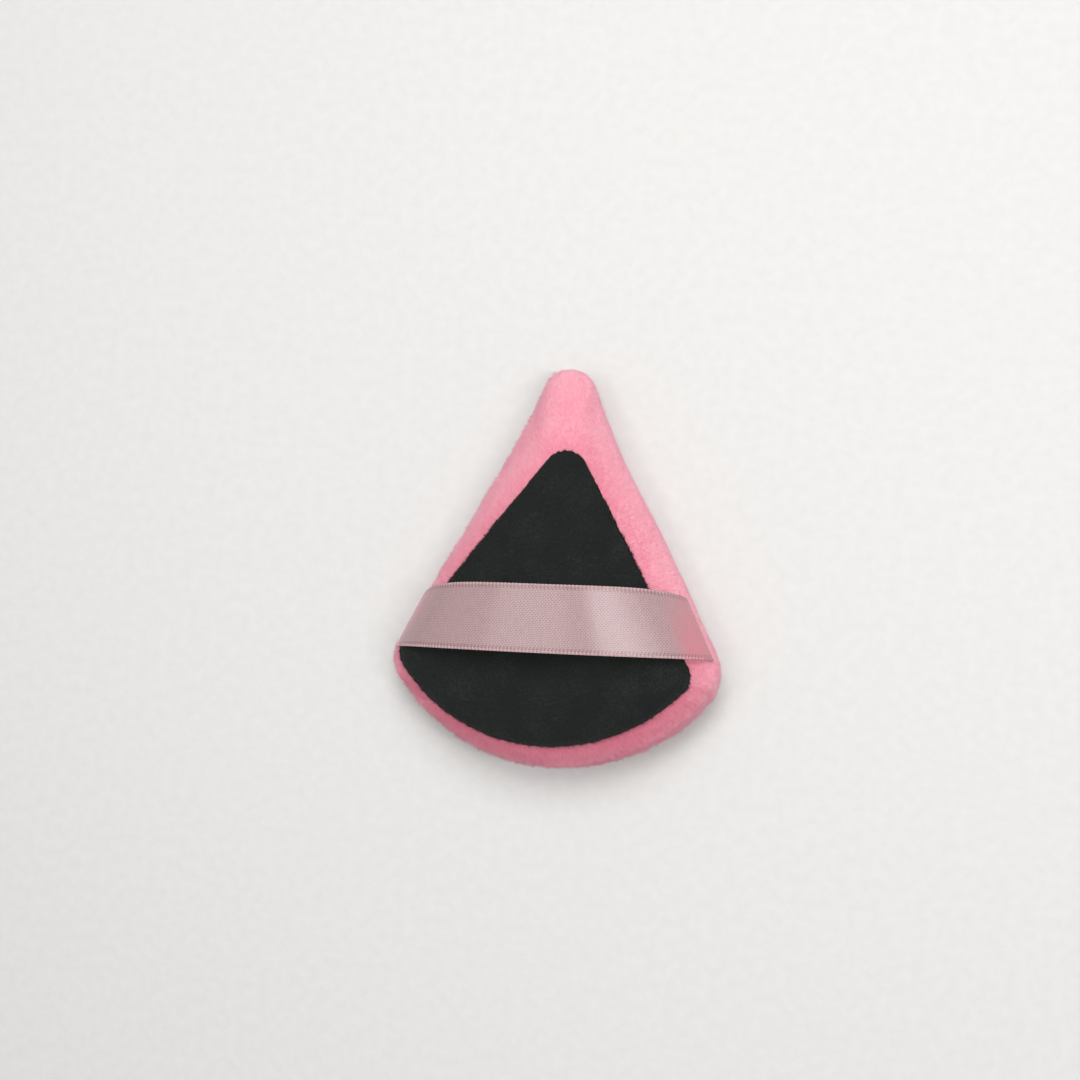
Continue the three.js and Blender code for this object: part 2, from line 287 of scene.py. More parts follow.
def loft(name: str, rings: Points, start: Points, end: Points) -> Mesh:
    """Make a closed mesh through rings of equally many points.

    Args:
        name: The mesh's name.
        rings: Grid of rings.
        start: Middle point that closes the first ring.
        end: Middle point that closes the last ring.

    Returns:
        The mesh, with its faces pointing outwards.
    """
    count, size = rings.shape[:2]
    first, last, top = count * size, count * size + 1, (count - 1) * size
    faces: list[tuple[int, ...]] = []
    for k in range(size):
        after = (k + 1) % size
        faces += [(first, after, k), (last, top + k, top + after)]
        faces += [(row + k, row + after, row + size + after, row + size + k) for row in range(0, top, size)]
    mesh = new_mesh(name, np.concatenate([rings.reshape(-1, 3), [start, end]]), faces, [])
    mesh.calc_loop_triangles()
    corners = read(mesh.loop_triangles, "vertices", kind=np.int32)
    a, b, c = read(mesh.vertices, "co")[corners].transpose(1, 0, 2)
    if np.einsum("ij,ij->", a, np.cross(b, c)) < 0:
        mesh.flip_normals()
    return mesh


def add_object(name: str, mesh: Mesh, finish: Material | None = None) -> Piece:
    """Put a mesh in the scene.

    Args:
        name: The object's name.
        mesh: Its mesh.
        finish: Its material, unless the mesh has one.

    Returns:
        The object.
    """
    made = bpy.data.objects.new(name, mesh)
    if finish is not None:
        mesh.materials.append(finish)
    bpy.context.scene.collection.objects.link(made)
    return made


def on_pad(piece: Piece, node: str = "") -> Piece:
    """Let a piece ride on the pad.

    Args:
        piece: The piece.
        node: The node that it stands for, if there is one.

    Returns:
        The piece.
    """
    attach(piece, "pad")
    if node:
        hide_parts(node)
    return piece


class Graph:
    """Node tree with short calls that add nodes and join their sockets."""

    def __init__(self, tree: NodeTree) -> None:
        """Take over a tree and empty it."""
        self.tree = tree
        tree.nodes.clear()

    def add(self, kind: str, inputs: Inputs | None = None, **settings: object) -> Node:
        """Add a node.

        Args:
            kind: The node's type.
            inputs: Sockets to join or values to set, by the input's name or number.
            **settings: The node's own properties.

        Returns:
            The node.
        """
        node = self.tree.nodes.new(kind)
        for name, value in settings.items():
            setattr(node, name, value)
        for key, value in (inputs or {}).items():
            self.feed(node, key, value)
        return node

    def feed(self, node: Node, key: str | int, value: object) -> None:
        """Join a socket to a node's input, or set the input's value.

        Args:
            node: The node.
            key: The input's name or number.
            value: A socket, or a plain value.
        """
        shown = [socket for socket in node.inputs if socket.enabled and socket.name == key]
        target = node.inputs[key] if isinstance(key, int) else shown[0]
        if isinstance(value, NodeSocket):
            self.tree.links.new(value, target)
        else:
            target.default_value = value

    def out(self, kind: str, inputs: Inputs | None = None, **settings: object) -> NodeSocket:
        """Add a node and give its first output that is in use."""
        outputs = self.add(kind, inputs, **settings).outputs
        return next(socket for socket in outputs if socket.enabled)

    def math(self, operation: str, *values: object) -> NodeSocket:
        """Add a calculation on numbers and give its result."""
        return self.out("ShaderNodeMath", dict(enumerate(values)), operation=operation)

    def vector(self, operation: str, *values: object) -> NodeSocket:
        """Add a calculation on vectors and give its result."""
        return self.out("ShaderNodeVectorMath", dict(enumerate(values)), operation=operation)

    def scaled(self, vector: object, factor: object) -> NodeSocket:
        """Lengthen a vector by a factor."""
        return self.out("ShaderNodeVectorMath", {0: vector, "Scale": factor}, operation="SCALE")

    def axes(self, vector: NodeSocket) -> bpy.types.NodeOutputs:
        """Take a vector apart into X, Y and Z."""
        return self.add("ShaderNodeSeparateXYZ", {0: vector}).outputs

    def ramp(self, share: NodeSocket, *stops: tuple[float, Colour]) -> NodeSocket:
        """Turn a number into a colour.

        Args:
            share: The number, from 0 to 1.
            *stops: Places and colours between which it runs.

        Returns:
            The colour.
        """
        node = self.add("ShaderNodeValToRGB", {"Fac": share})
        elements = node.color_ramp.elements
        while len(elements) < len(stops):
            elements.new(0.5)
        for element, (place, colour) in zip(elements, stops):
            element.position, element.color = place, colour
        return node.outputs["Color"]

    def mix(self, share: object, first: object, second: object, blend: str = "MIX") -> NodeSocket:
        """Mix two colours by the share of the second one."""
        inputs = {"Factor": share, "A": first, "B": second}
        return self.out("ShaderNodeMix", inputs, data_type="RGBA", blend_type=blend)


class Shading(Graph):
    """Node tree of one surface, which ends in a single principled shader."""

    def __init__(self, name: str, **constants: object) -> None:
        """Start a material.

        Args:
            name: The material's name.
            **constants: Values that are the same all over the surface, by socket name with _ for a space.
        """
        self.material = bpy.data.materials.new(name)
        self.material.use_nodes = True
        super().__init__(self.material.node_tree)
        self.surface = self.add("ShaderNodeBsdfPrincipled")
        self.set(**constants)
        self.add("ShaderNodeOutputMaterial", {"Surface": self.surface.outputs["BSDF"]})
        self.place = self.add("ShaderNodeTexCoord").outputs["Object"]

    def set(self, **sockets: object) -> None:
        """Join sockets to the shader's inputs or set these, by input name with _ for a space."""
        for key, value in sockets.items():
            self.feed(self.surface, key.replace("_", " "), value)

    def speckle(self, scale: float, detail: float = 2.0, place: NodeSocket | None = None) -> NodeSocket:
        """Add an irregular pattern from 0 to 1, with so many crests to the metre."""
        inputs = {"Vector": place or self.place, "Scale": scale, "Detail": detail}
        return self.out("ShaderNodeTexNoise", inputs)

    def eased(self, value: NodeSocket, low: float, high: float) -> NodeSocket:
        """Ease a number from 0 at low to 1 at high."""
        inputs = {"Value": value, "From Min": low, "From Max": high}
        return self.out("ShaderNodeMapRange", inputs, interpolation_type="SMOOTHSTEP")

    def tinted(self, colour: NodeSocket, tint: Colour) -> NodeSocket:
        """Let the velour behind a surface tint its colour, where the surface is marked."""
        behind = self.add("ShaderNodeAttribute", attribute_name=OVER_VELOUR).outputs["Fac"]
        return self.mix(self.math("MULTIPLY", behind, 0.8), colour, tint)

    def raise_by(self, height: NodeSocket, depth: float, strength: float = 1.0) -> None:
        """Let a pattern from 0 to 1 raise the surface by a depth in metres."""
        bump = self.add("ShaderNodeBump", {"Height": height, "Distance": depth, "Strength": strength})
        self.set(Normal=bump.outputs["Normal"])


@dataclass(frozen=True)
class PileFabric:
    """Fabric with a short cut pile: its ground, and the strands of the pile."""

    name: str
    ground: Colour  # between the strands
    deep: Colour  # the darkest strands
    middle: Colour  # most strands
    light: Colour  # the lightest strands
    root: float  # how much of its colour a strand keeps at its root, under a painted shade deep in the pile
    sheen: float
    sheen_colour: Colour

    def shading(self, part: str, **constants: float) -> Shading:
        """Start the material of one part of the fabric, with the fabric's own sheen."""
        name = f"{self.name}_{part}"
        return Shading(name, Sheen_Weight=self.sheen, Sheen_Tint=self.sheen_colour, **constants)

    def ground_material(self) -> Material:
        """Make the material of the fabric that the strands stand on.

        Returns:
            The material.
        """
        shading = self.shading("ground", Roughness=0.95, Sheen_Roughness=0.5, Specular_IOR_Level=0.1)
        knit, patch = shading.speckle(scale=2600, detail=3), shading.speckle(scale=120)
        fine, broad = shading.math("MULTIPLY", knit, 0.7), shading.math("MULTIPLY", patch, 0.3)
        tone = shading.math("ADD", fine, broad)
        colours = (0.3, self.deep), (0.5, self.ground), (0.75, self.middle)
        shading.set(Base_Color=shading.ramp(tone, *colours))
        shading.raise_by(knit, depth=0.15 * MM)
        return shading.material

    def strand_material(self) -> Material:
        """Make the material of the strands, which takes each strand's shade from its own map.

        Returns:
            The material.
        """
        shading = self.shading("pile", Roughness=0.85, Sheen_Roughness=0.4, Specular_IOR_Level=0.15)
        strand = shading.axes(shading.out("ShaderNodeUVMap", uv_map=PileTree.MAPS[0]))
        shade = shading.ramp(strand["X"], (0.05, self.deep), (0.5, self.middle), (0.95, self.light))
        # painted shade: each strand is darker towards its root
        height = shading.ramp(strand["Y"], (0.0, (*[self.root] * 3, 1.0)), (0.75, (1.0, 1.0, 1.0, 1.0)))
        shading.set(Base_Color=shading.mix(1.0, shade, height, "MULTIPLY"))
        return shading.material


@dataclass(frozen=True)
class Satin:
    """Single-face satin ribbon, with floats that run across it."""

    shadow: Colour = srgb(132, 103, 107)  # where a float dips under the next thread
    body: Colour = srgb(166, 139, 141)
    # painted light on the raised floats, mixed with the yarn's uneven slubs
    light: Colour = srgb(186, 157, 158)
    over_velour: Colour = srgb(203, 124, 136)
    gap: Colour = srgb(138, 104, 108)  # between the loops of the weft at the edges
    float_length: float = 0.8 * MM
    float_width: float = 0.37 * MM
    step: float = 0.5  # share of a float by which each row is set on from the last one
    dip: float = 0.155  # share of a float in which it rises from under the next thread
    depth: float = 0.03 * MM
    slubs: tuple[float, float, float] = (2600.0, 500.0, 1.0)  # to the metre, along and across
    loop_pitch: float = 0.84 * MM
    edge_from: float = 6.2 * MM  # distance from the middle line at which the loops start
    edge_over: float = 0.25 * MM  # width over which they appear

    def material(self) -> Material:
        """Make the ribbon's material, on its own map in metres along and across.

        Returns:
            The material.
        """
        shading = Shading(
            "satin_ribbon",
            Roughness=0.23,
            Specular_IOR_Level=0.38,
            Anisotropic=0.75,
            Anisotropic_Rotation=0.25,
            Sheen_Weight=0.15,
            Sheen_Roughness=0.35,
        )
        calc = shading.math
        strip = shading.out("ShaderNodeUVMap", uv_map="ribbon")
        axes = shading.axes(strip)
        rows = calc("DIVIDE", axes["X"], self.float_width)
        aside = calc("SUBTRACT", calc("FRACT", rows), 0.5)
        crest = calc("SUBTRACT", 1.0, calc("MULTIPLY", 4.0, calc("POWER", aside, 2.0)))
        set_on = calc("MULTIPLY", calc("FLOOR", rows), self.step)
        place = calc("FRACT", calc("ADD", calc("DIVIDE", axes["Y"], self.float_length), set_on))
        raised = shading.eased(calc("ABSOLUTE", calc("SUBTRACT", place, 0.5)), 0.0, self.dip)
        height = calc("MULTIPLY", raised, calc("ADD", 0.55, calc("MULTIPLY", 0.45, crest)))
        slub = shading.speckle(1.0, detail=1, place=shading.vector("MULTIPLY", strip, self.slubs))
        tone = calc("ADD", calc("MULTIPLY", height, 0.75), calc("MULTIPLY", slub, 0.34))
        # painted shade in the dips and painted light on the raised floats, mixed with the slubs
        weave = shading.ramp(tone, (0.15, self.shadow), (0.68, self.body), (1.0, self.light))
        dark = calc("MULTIPLY", self.loop_gaps(shading, axes), 0.85)
        shading.set(Base_Color=shading.mix(dark, shading.tinted(weave, self.over_velour), self.gap))
        shading.set(Tangent=shading.out("ShaderNodeTangent", direction_type="UV_MAP", uv_map="ribbon"))
        shading.raise_by(height, depth=self.depth, strength=0.1)
        return shading.material

    def loop_gaps(self, shading: Shading, axes: bpy.types.NodeOutputs) -> NodeSocket:
        """Mark the gaps between the loops of the weft at the ribbon's edges.

        Args:
            shading: The material.
            axes: Place along and across the ribbon.

        Returns:
            1 in the gaps and 0 elsewhere.
        """
        calc = shading.math
        from_middle = calc("ABSOLUTE", axes["Y"])
        near_edge = shading.eased(from_middle, self.edge_from, self.edge_from + self.edge_over)
        slanted = calc("MULTIPLY_ADD", from_middle, 0.5, axes["X"])
        wave = calc("COSINE", calc("MULTIPLY", slanted, 2 * math.pi / self.loop_pitch))
        return calc("MULTIPLY", near_edge, calc("POWER", calc("MULTIPLY_ADD", wave, 0.5, 0.5), 1.6))


@dataclass(frozen=True)
class Grained:
    """Plain finish whose colour and relief follow one fine pattern."""

    name: str
    low: tuple[float, Colour]  # value of the pattern, and its colour
    high: tuple[float, Colour]
    scale: float  # to the metre
    relief: float
    roughness: float
    specular: float
    detail: float = 2.0
    cells: bool = False  # cells with walls, not an irregular grain
    sheen: float = 0.0
    over_velour: Colour | None = None  # tint where velour lies behind it, if that shows

    def material(self) -> Material:
        """Make the finish's material.

        Returns:
            The material.
        """
        constants = {"Roughness": self.roughness, "Specular_IOR_Level": self.specular}
        shading = Shading(self.name, Sheen_Weight=self.sheen, **constants)
        if self.cells:
            grain = shading.out("ShaderNodeTexVoronoi", {"Vector": shading.place, "Scale": self.scale})
        else:
            grain = shading.speckle(self.scale, self.detail)
        colour = shading.ramp(grain, self.low, self.high)
        shading.set(Base_Color=shading.tinted(colour, self.over_velour) if self.over_velour else colour)
        if self.relief:
            shading.raise_by(grain, depth=self.relief)
        return shading.material


PINK_VELOUR = PileFabric(
    name="pink_velour",
    ground=srgb(248, 152, 172),
    deep=srgb(238, 132, 156),
    middle=srgb(255, 174, 191),
    light=srgb(255, 204, 214),
    root=0.9,
    sheen=0.5,
    sheen_colour=srgb(255, 214, 222),
)
BLACK_VELVET = PileFabric(
    name="black_velvet",
    ground=srgb(30, 33, 31),
    deep=srgb(28, 31, 29),
    middle=srgb(50, 54, 51),
    light=srgb(92, 97, 92),
    root=0.7,
    sheen=0.12,
    sheen_colour=srgb(190, 196, 190),
)
RIBBON_SATIN = Satin()
SEWING_THREAD = Grained(
    name="sewing_thread",
    low=(0.3, srgb(206, 128, 146)),
    high=(0.7, srgb(240, 172, 186)),
    scale=5200.0,
    relief=0.03 * MM,
    roughness=0.6,
    specular=0.25,
    sheen=0.1,
)
RIBBON_WEFT = replace(
    SEWING_THREAD,
    name="ribbon_weft",
    low=(0.3, srgb(176, 142, 145)),
    high=(0.7, srgb(202, 168, 171)),
    over_velour=srgb(205, 136, 146),
)
LATEX = Grained(
    name="latex_foam",
    low=(0.15, srgb(214, 196, 168)),
    high=(0.5, srgb(246, 236, 218)),
    scale=1500.0,
    relief=0.2 * MM,
    roughness=0.9,
    specular=0.2,
    cells=True,
)
WEB = Grained(
    name="bond_web",
    low=(0.42, srgb(214, 209, 198)),
    high=(0.58, srgb(240, 236, 226)),
    scale=900.0,
    relief=0.1 * MM,
    roughness=0.55,
    specular=0.4,
    detail=4.0,
)
FLOOR = Grained(
    name="pale_floor",
    low=(0.3, srgb(217, 216, 214)),
    high=(0.7, srgb(221, 220, 218)),
    scale=400.0,
    relief=0.0,
    roughness=0.8,
    specular=0.2,
)


@dataclass(frozen=True)
class RoundTriangle:
    """Outline of a triangle with a bowed base and round corners, seen from above."""

    length: float
    width: float
    tip_radius: float
    corner_radius: float
    corner_height: float  # from the base to the corners' middles
    tip_lean: float  # lean of the sides beside the tip
    corner_lean: float  # lean of the sides beside the corners
    steps: tuple[int, int, int, int]  # on half the base, a corner, a side and half the tip

    def finer(self, times: int) -> "RoundTriangle":
        """Give the same outline with more points."""
        return replace(self, steps=tuple(count * times for count in self.steps))

    def half(self, inset: float) -> Points:
        """Draw the right half, from the middle of the base to the tip.

        Args:
            inset: How far the line runs inside the outline.

        Returns:
            Points of the line, one to a row.
        """

        def arc(x: float, y: float, radius: float, start: float, stop: float, count: int) -> Points:
            """Draw an arc about a point."""
            angle = np.linspace(start, stop, count + 1)
            return (radius - inset) * np.stack([np.cos(angle), np.sin(angle)], 1) + (x, y)

        def leaning(angle: float, length: float) -> Points:
            """Give a stretch of a side that leans by an angle."""
            return length * np.array([-math.sin(angle), math.cos(angle)])

        base, tip_y = -self.length / 2, self.length / 2 - self.tip_radius
        corner_x, corner_y = self.width / 2 - self.corner_radius, base + self.corner_height
        bow_squares = corner_x**2 + self.corner_height**2 - self.corner_radius**2
        bow_radius = bow_squares / (2 * (self.corner_height - self.corner_radius))
        bow_end = math.atan2(self.corner_height - bow_radius, corner_x)
        bow = arc(0, base + bow_radius, bow_radius, -math.pi / 2, bow_end, self.steps[0])
        corner = arc(corner_x, corner_y, self.corner_radius, bow_end, self.corner_lean, self.steps[1])
        tip = arc(0, tip_y, self.tip_radius, self.tip_lean, math.pi / 2, self.steps[3])
        start, end = corner[-1], tip[0]
        handle = float(np.linalg.norm(end - start)) / 3
        leave = start + leaning(self.corner_lean, handle)
        arrive = end - leaning(self.tip_lean, handle)
        side = bezier(start, leave, arrive, end, self.steps[2])
        return np.concatenate([bow[:-1], corner[:-1], side[:-1], tip])

    def ring(self, inset: float = 0.0) -> Points:
        """Draw the whole outline, or a line inside it, anticlockwise from the middle of the base."""
        half = self.half(inset)
        return np.concatenate([half, half[-2:0:-1] * (-1, 1)])


@dataclass(frozen=True)
class Padding:
    """Padded form of the puff: its outline, its crowned section and the seam round it."""

    outline: RoundTriangle  # at the widest level
    widest_level: float = 8.5 * MM
    back_rise: float = 9.0 * MM  # crown of the back above the widest level
    face_flattening: float = 0.8 * MM  # part of the face's crown that is pressed flat
    plumpness: float = 5.0  # power of the section, which fills its edges out
    crown_from_base: float = 34.5 * MM
    seam_height: float = 3.0 * MM  # mouth of the seam above the widest level
    seam_lean: float = math.radians(35)  # lean of the seam's turned-in edges
    seam_gap: float = 1.45 * MM  # room between those edges

    @property
    def crown(self) -> Points:
        """Place of the highest point, seen from above."""
        return np.array([0.0, self.crown_from_base - self.outline.length / 2])

    @property
    def top(self) -> float:
        """Height of the highest point."""
        return self.widest_level + self.back_rise

    @property
    def seam_level(self) -> float:
        """Height of the seam's mouth."""
        return self.widest_level + self.seam_height

    @property
    def reach(self) -> float:
        """Typical distance from the crown to the outline."""
        return self.outline.width * 0.42

    def level_ring(self, inset: float, share: float, height: float) -> Points:
        """Draw a level ring that keeps a share of the inset outline's distance from the crown."""
        flat = (self.outline.ring(inset) - self.crown) * share + self.crown
        return np.column_stack([flat, np.full(len(flat), height)])

    def rows_on(self, profile: Points, inset: float) -> Points:
        """Draw a ring for each row of a section."""
        return np.stack([self.level_ring(inset, share, height) for share, height in profile])

    def from_crown(self, rows: Points) -> Points:
        """Give the level direction away from the crown at each point."""
        return unit(np.concatenate([rows[..., :2] - self.crown, np.zeros((*rows.shape[:2], 1))], -1))

    def back_angle(self, height: float, inset: float) -> float:
        """Give the angle from the widest level at which the back reaches a height."""
        return math.asin((height - self.widest_level) / (self.back_rise - inset))

    def profile(self, start: float, stop: float, rise: float, step: float) -> Points:
        """Draw the section between two angles from the widest level.

        Args:
            start: First angle.
            stop: Last angle.
            rise: Crown above the widest level, or below it if it is less than 0.
            step: Distance between points.

        Returns:
            Rows of share and height.
        """
        angles = np.linspace(start, stop, 400)
        shares = np.cos(angles).clip(0) ** (2 / self.plumpness)
        line = np.stack([shares * self.reach, self.widest_level + rise * np.sin(angles)], 1)
        along = np.concatenate([[0], np.cumsum(np.linalg.norm(np.diff(line, axis=0), axis=1))])
        places = np.linspace(0, along[-1], max(2, round(along[-1] / step) + 1))
        return np.stack([np.interp(places, along, axis) for axis in line.T], 1) / (self.reach, 1.0)

    def seam_ring(self, depth: float, across: float) -> Points:
        """Draw a ring in the seam.

        Args:
            depth: Depth behind the seam's mouth.
            across: Place across its gap, from the middle upwards.

        Returns:
            Points of the ring.
        """
        share = math.cos(self.back_angle(self.seam_level, 0.0)) ** (2 / self.plumpness)
        height = self.seam_level - depth * math.tan(self.seam_lean) + across / math.cos(self.seam_lean)
        return self.level_ring(depth, share, height)

    def over_back(self, points: Points, above: float) -> Points:
        """Lift points onto the back.

        Args:
            points: Places seen from above.
            above: How far above the back they stand.

        Returns:
            Points in space.
        """
        from_crown = points - self.crown
        reach = reach_through(self.outline.finer(4).ring() - self.crown, from_crown)
        share = np.clip(np.linalg.norm(from_crown, axis=-1) / reach, 0, 1)
        height = self.widest_level + self.back_rise * np.sqrt(1 - share**self.plumpness) + above
        return np.concatenate([points, height[..., None]], -1)


PUFF = Padding(
    RoundTriangle(
        length=90 * MM,
        width=74.8 * MM,
        tip_radius=6 * MM,
        corner_radius=9 * MM,
        corner_height=23.5 * MM,
        tip_lean=math.radians(23),
        corner_lean=math.radians(25),
        steps=(22, 14, 32, 12),
    )
)


class GeometryTree(Graph):
    """Geometry tree that makes a piece on a mesh, from inputs with names."""

    NAME: ClassVar[str]
    SIZES: ClassVar[dict[str, str]]

    def __init__(self) -> None:
        """Build the tree: its inputs, what it makes, and the finish on that."""
        super().__init__(bpy.data.node_groups.new(self.NAME, "GeometryNodeTree"))
        new_socket = self.tree.interface.new_socket
        kinds = {"Geometry": "Geometry", **self.SIZES, "Finish": "Material"}
        self.sockets = {
            name: new_socket(name, in_out="INPUT", socket_type=f"NodeSocket{kind}").identifier
            for name, kind in kinds.items()
        }
        new_socket("Geometry", in_out="OUTPUT", socket_type="NodeSocketGeometry")
        self.given = self.add("NodeGroupInput").outputs
        inputs = {"Geometry": self.made(), "Material": self.given["Finish"]}
        self.add("NodeGroupOutput", {"Geometry": self.out("GeometryNodeSetMaterial", inputs)})

    def made(self) -> NodeSocket:
        """Add the nodes that make the piece, up to its finish."""
        raise NotImplementedError

    def value(self, name: str, kind: str = "FLOAT") -> NodeSocket:
        """Read one of the mesh's own values."""
        return self.out("GeometryNodeInputNamedAttribute", {"Name": name}, data_type=kind)

    def stored(self, geometry: NodeSocket, name: str, value: object, kind: str, domain: str) -> NodeSocket:
        """Store a value of a kind on a domain of a geometry."""
        inputs = {"Geometry": geometry, "Name": name, "Value": value}
        return self.out("GeometryNodeStoreNamedAttribute", inputs, data_type=kind, domain=domain)

    def smooth(self, geometry: NodeSocket) -> NodeSocket:
        """Realize what the nodes have made and shade it smooth."""
        realized = self.out("GeometryNodeRealizeInstances", {"Geometry": geometry})
        return self.out("GeometryNodeSetShadeSmooth", {"Geometry": realized})

    def run(self, name: str, mesh: Mesh, **inputs: object) -> Piece:
        """Run the tree on a mesh and keep the result as a plain piece.

        Args:
            name: The piece's name.
            mesh: The mesh.
            **inputs: The tree's inputs.

        Returns:
            The piece.
        """
        base = add_object(f"{name}_base", mesh)
        modifier = base.modifiers.new("tree", "NODES")
        modifier.node_group = self.tree
        for key, value in inputs.items():
            modifier[self.sockets[key]] = value
        graph = bpy.context.evaluated_depsgraph_get()
        evaluated = base.evaluated_get(graph)
        made = bpy.data.meshes.new_from_object(evaluated, preserve_all_data_layers=True, depsgraph=graph)
        base.modifiers.remove(modifier)
        bpy.data.objects.remove(base)
        made.name = name
        return add_object(name, made)


class PileTree(GeometryTree):
    """Tree that grows a cut pile on a mesh, from the mesh's nap, height, share, tone and looseness."""

    NAME = "cut_pile"
    LOOKS = ("Length", "Thickness", "Lean", "Stray", "Tuft", "Tufts")
    SIZES = dict.fromkeys(("Density", *LOOKS), "Float") | {"Seed": "Int"}
    MAPS = ("shade", "OFBake")

    def draw(self, low: float, high: float, seed: int) -> NodeSocket:
        """Draw a random number for each strand."""
        inputs = {"Min": low, "Max": high, "Seed": seed}
        return self.out("FunctionNodeRandomValue", inputs, data_type="FLOAT")

    def made(self) -> NodeSocket:
        """Set the strands' roots, plant a strand on each and give it its shade.

        Returns:
            The pile.
        """
        given, calc = self.given, self.math
        density = calc("MULTIPLY", given["Density"], self.value("share"))
        spread = self.add(
            "GeometryNodeDistributePointsOnFaces",
            {"Mesh": given["Geometry"], "Density": density, "Seed": given["Seed"]},
            distribute_method="RANDOM",
        ).outputs
        roots = self.stored(spread["Points"], "facing", spread["Normal"], "FLOAT_VECTOR", "POINT")
        # Tufts are long on a steep side.
        place = self.vector("MULTIPLY", self.out("GeometryNodeInputPosition"), (1.0, 1.0, 0.2))
        tufts = {"Vector": place, "Scale": given["Tufts"], "Detail": 1.0}
        tufted = self.add("ShaderNodeTexNoise", tufts).outputs
        gathered = calc("MULTIPLY", given["Tuft"], self.value("loose"))
        direction = self.direction(spread["Normal"], tufted["Color"], gathered)
        patch = calc("SUBTRACT", tufted["Fac"], 0.5)
        uneven = calc("MULTIPLY_ADD", patch, calc("MULTIPLY", gathered, 2.2), 1.0)
        height = calc("MULTIPLY", self.value("height"), self.draw(low=0.65, high=1.15, seed=5))
        height = calc("MULTIPLY", height, calc("MULTIPLY", uneven, given["Length"]))
        turn = self.out("FunctionNodeAlignRotationToVector", {"Vector": direction}, axis="Z")
        angle = self.draw(low=0.0, high=2 * math.pi, seed=3)
        spin = self.out("FunctionNodeAxisAngleToRotation", {"Angle": angle})
        spun = {"Rotation": turn, "Rotate By": spin}
        turn = self.out("FunctionNodeRotateRotation", spun, rotation_space="LOCAL")
        size = self.out("ShaderNodeCombineXYZ", {"X": 1.0, "Y": 1.0, "Z": height})
        planted = {"Points": roots, "Instance": self.strand(), "Rotation": turn, "Scale": size}
        tone = calc("MULTIPLY_ADD", patch, 0.6, self.value("tone"))
        tone = calc("ADD", tone, self.draw(low=-0.12, high=0.12, seed=7))
        tone = self.out("ShaderNodeClamp", {"Value": tone})
        pile = self.out("GeometryNodeInstanceOnPoints", planted)
        pile = self.stored(pile, "tone", tone, "FLOAT", "INSTANCE")
        pile = self.out("GeometryNodeRealizeInstances", {"Geometry": pile})
        spot = self.spot()
        for name in self.MAPS:
            pile = self.stored(pile, name, spot, "FLOAT2", "CORNER")
        return pile

    def direction(self, normal: NodeSocket, tuft: NodeSocket, gathered: NodeSocket) -> NodeSocket:
        """Find the way that each strand points.

        Args:
            normal: The fabric's outward direction.
            tuft: Pattern that is alike within each tuft.
            gathered: How far the strands gather into tufts.

        Returns:
            The direction.
        """
        box = {"Min": (-1.0, -1.0, -1.0), "Max": (1.0, 1.0, 1.0), "Seed": self.given["Seed"]}
        stray = self.out("FunctionNodeRandomValue", box, data_type="FLOAT_VECTOR")
        nap = self.scaled(self.value("nap", "FLOAT_VECTOR"), self.given["Lean"])
        pull = self.scaled(self.vector("SUBTRACT", tuft, (0.5, 0.5, 0.5)), gathered)
        direction = self.vector("ADD", self.vector("ADD", normal, nap), pull)
        return self.vector("ADD", direction, self.scaled(stray, self.given["Stray"]))

    def strand(self) -> NodeSocket:
        """Make one upright strand, which notes the place along it.

        Returns:
            The strand.
        """
        radius = self.math("MULTIPLY", self.given["Thickness"], 0.5)
        sizes = {"Vertices": 3, "Radius Top": 0.0, "Radius Bottom": radius, "Depth": 1.0}
        cone = self.out("GeometryNodeMeshCone", sizes, fill_type="NGON")
        return self.stored(cone, "along", self.out("GeometryNodeInputPosition"), "FLOAT_VECTOR", "POINT")

    def spot(self) -> NodeSocket:
        """Give the place on the map of shades: the strand's tone across, and the height on it up.

        Returns:
            The place, spread a little so that no face of a strand is a line on the map.
        """
        calc, thickness = self.math, self.given["Thickness"]
        along = self.axes(self.value("along", "FLOAT_VECTOR"))
        wide = calc("MULTIPLY", calc("DIVIDE", along["X"], thickness), 0.02)
        deep = calc("MULTIPLY", calc("DIVIDE", along["Y"], thickness), 0.04)
        shade = calc("ADD", calc("MULTIPLY_ADD", self.value("tone"), 0.92, 0.04), wide)
        rise = calc("ADD", calc("MULTIPLY_ADD", along["Z"], 0.9, 0.05), deep)
        return self.out("ShaderNodeCombineXYZ", {"X": shade, "Y": rise})


class StitchTree(GeometryTree):
    """Tree that sets a small loop of thread on each point of a row, by its directions up and across."""

    NAME = "edge_loops"
    SIZES = {"Loop": "Vector"}

    def made(self) -> NodeSocket:
        """Set the loops.

        Returns:
            The loops.
        """
        up, across = self.value("up", "FLOAT_VECTOR"), self.value("across", "FLOAT_VECTOR")
        turn = self.out("FunctionNodeAlignRotationToVector", {"Vector": up}, axis="Z")
        turned = {"Rotation": turn, "Vector": across}
        turn = self.out("FunctionNodeAlignRotationToVector", turned, axis="X", pivot_axis="Z")
        loop = self.out("GeometryNodeMeshUVSphere", {"Segments": 7, "Rings": 5, "Radius": 0.5})
        points = self.out("GeometryNodeMeshToPoints", {"Mesh": self.given["Geometry"]})
        loops = {"Points": points, "Instance": loop, "Rotation": turn, "Scale": self.given["Loop"]}
        return self.smooth(self.out("GeometryNodeInstanceOnPoints", loops))


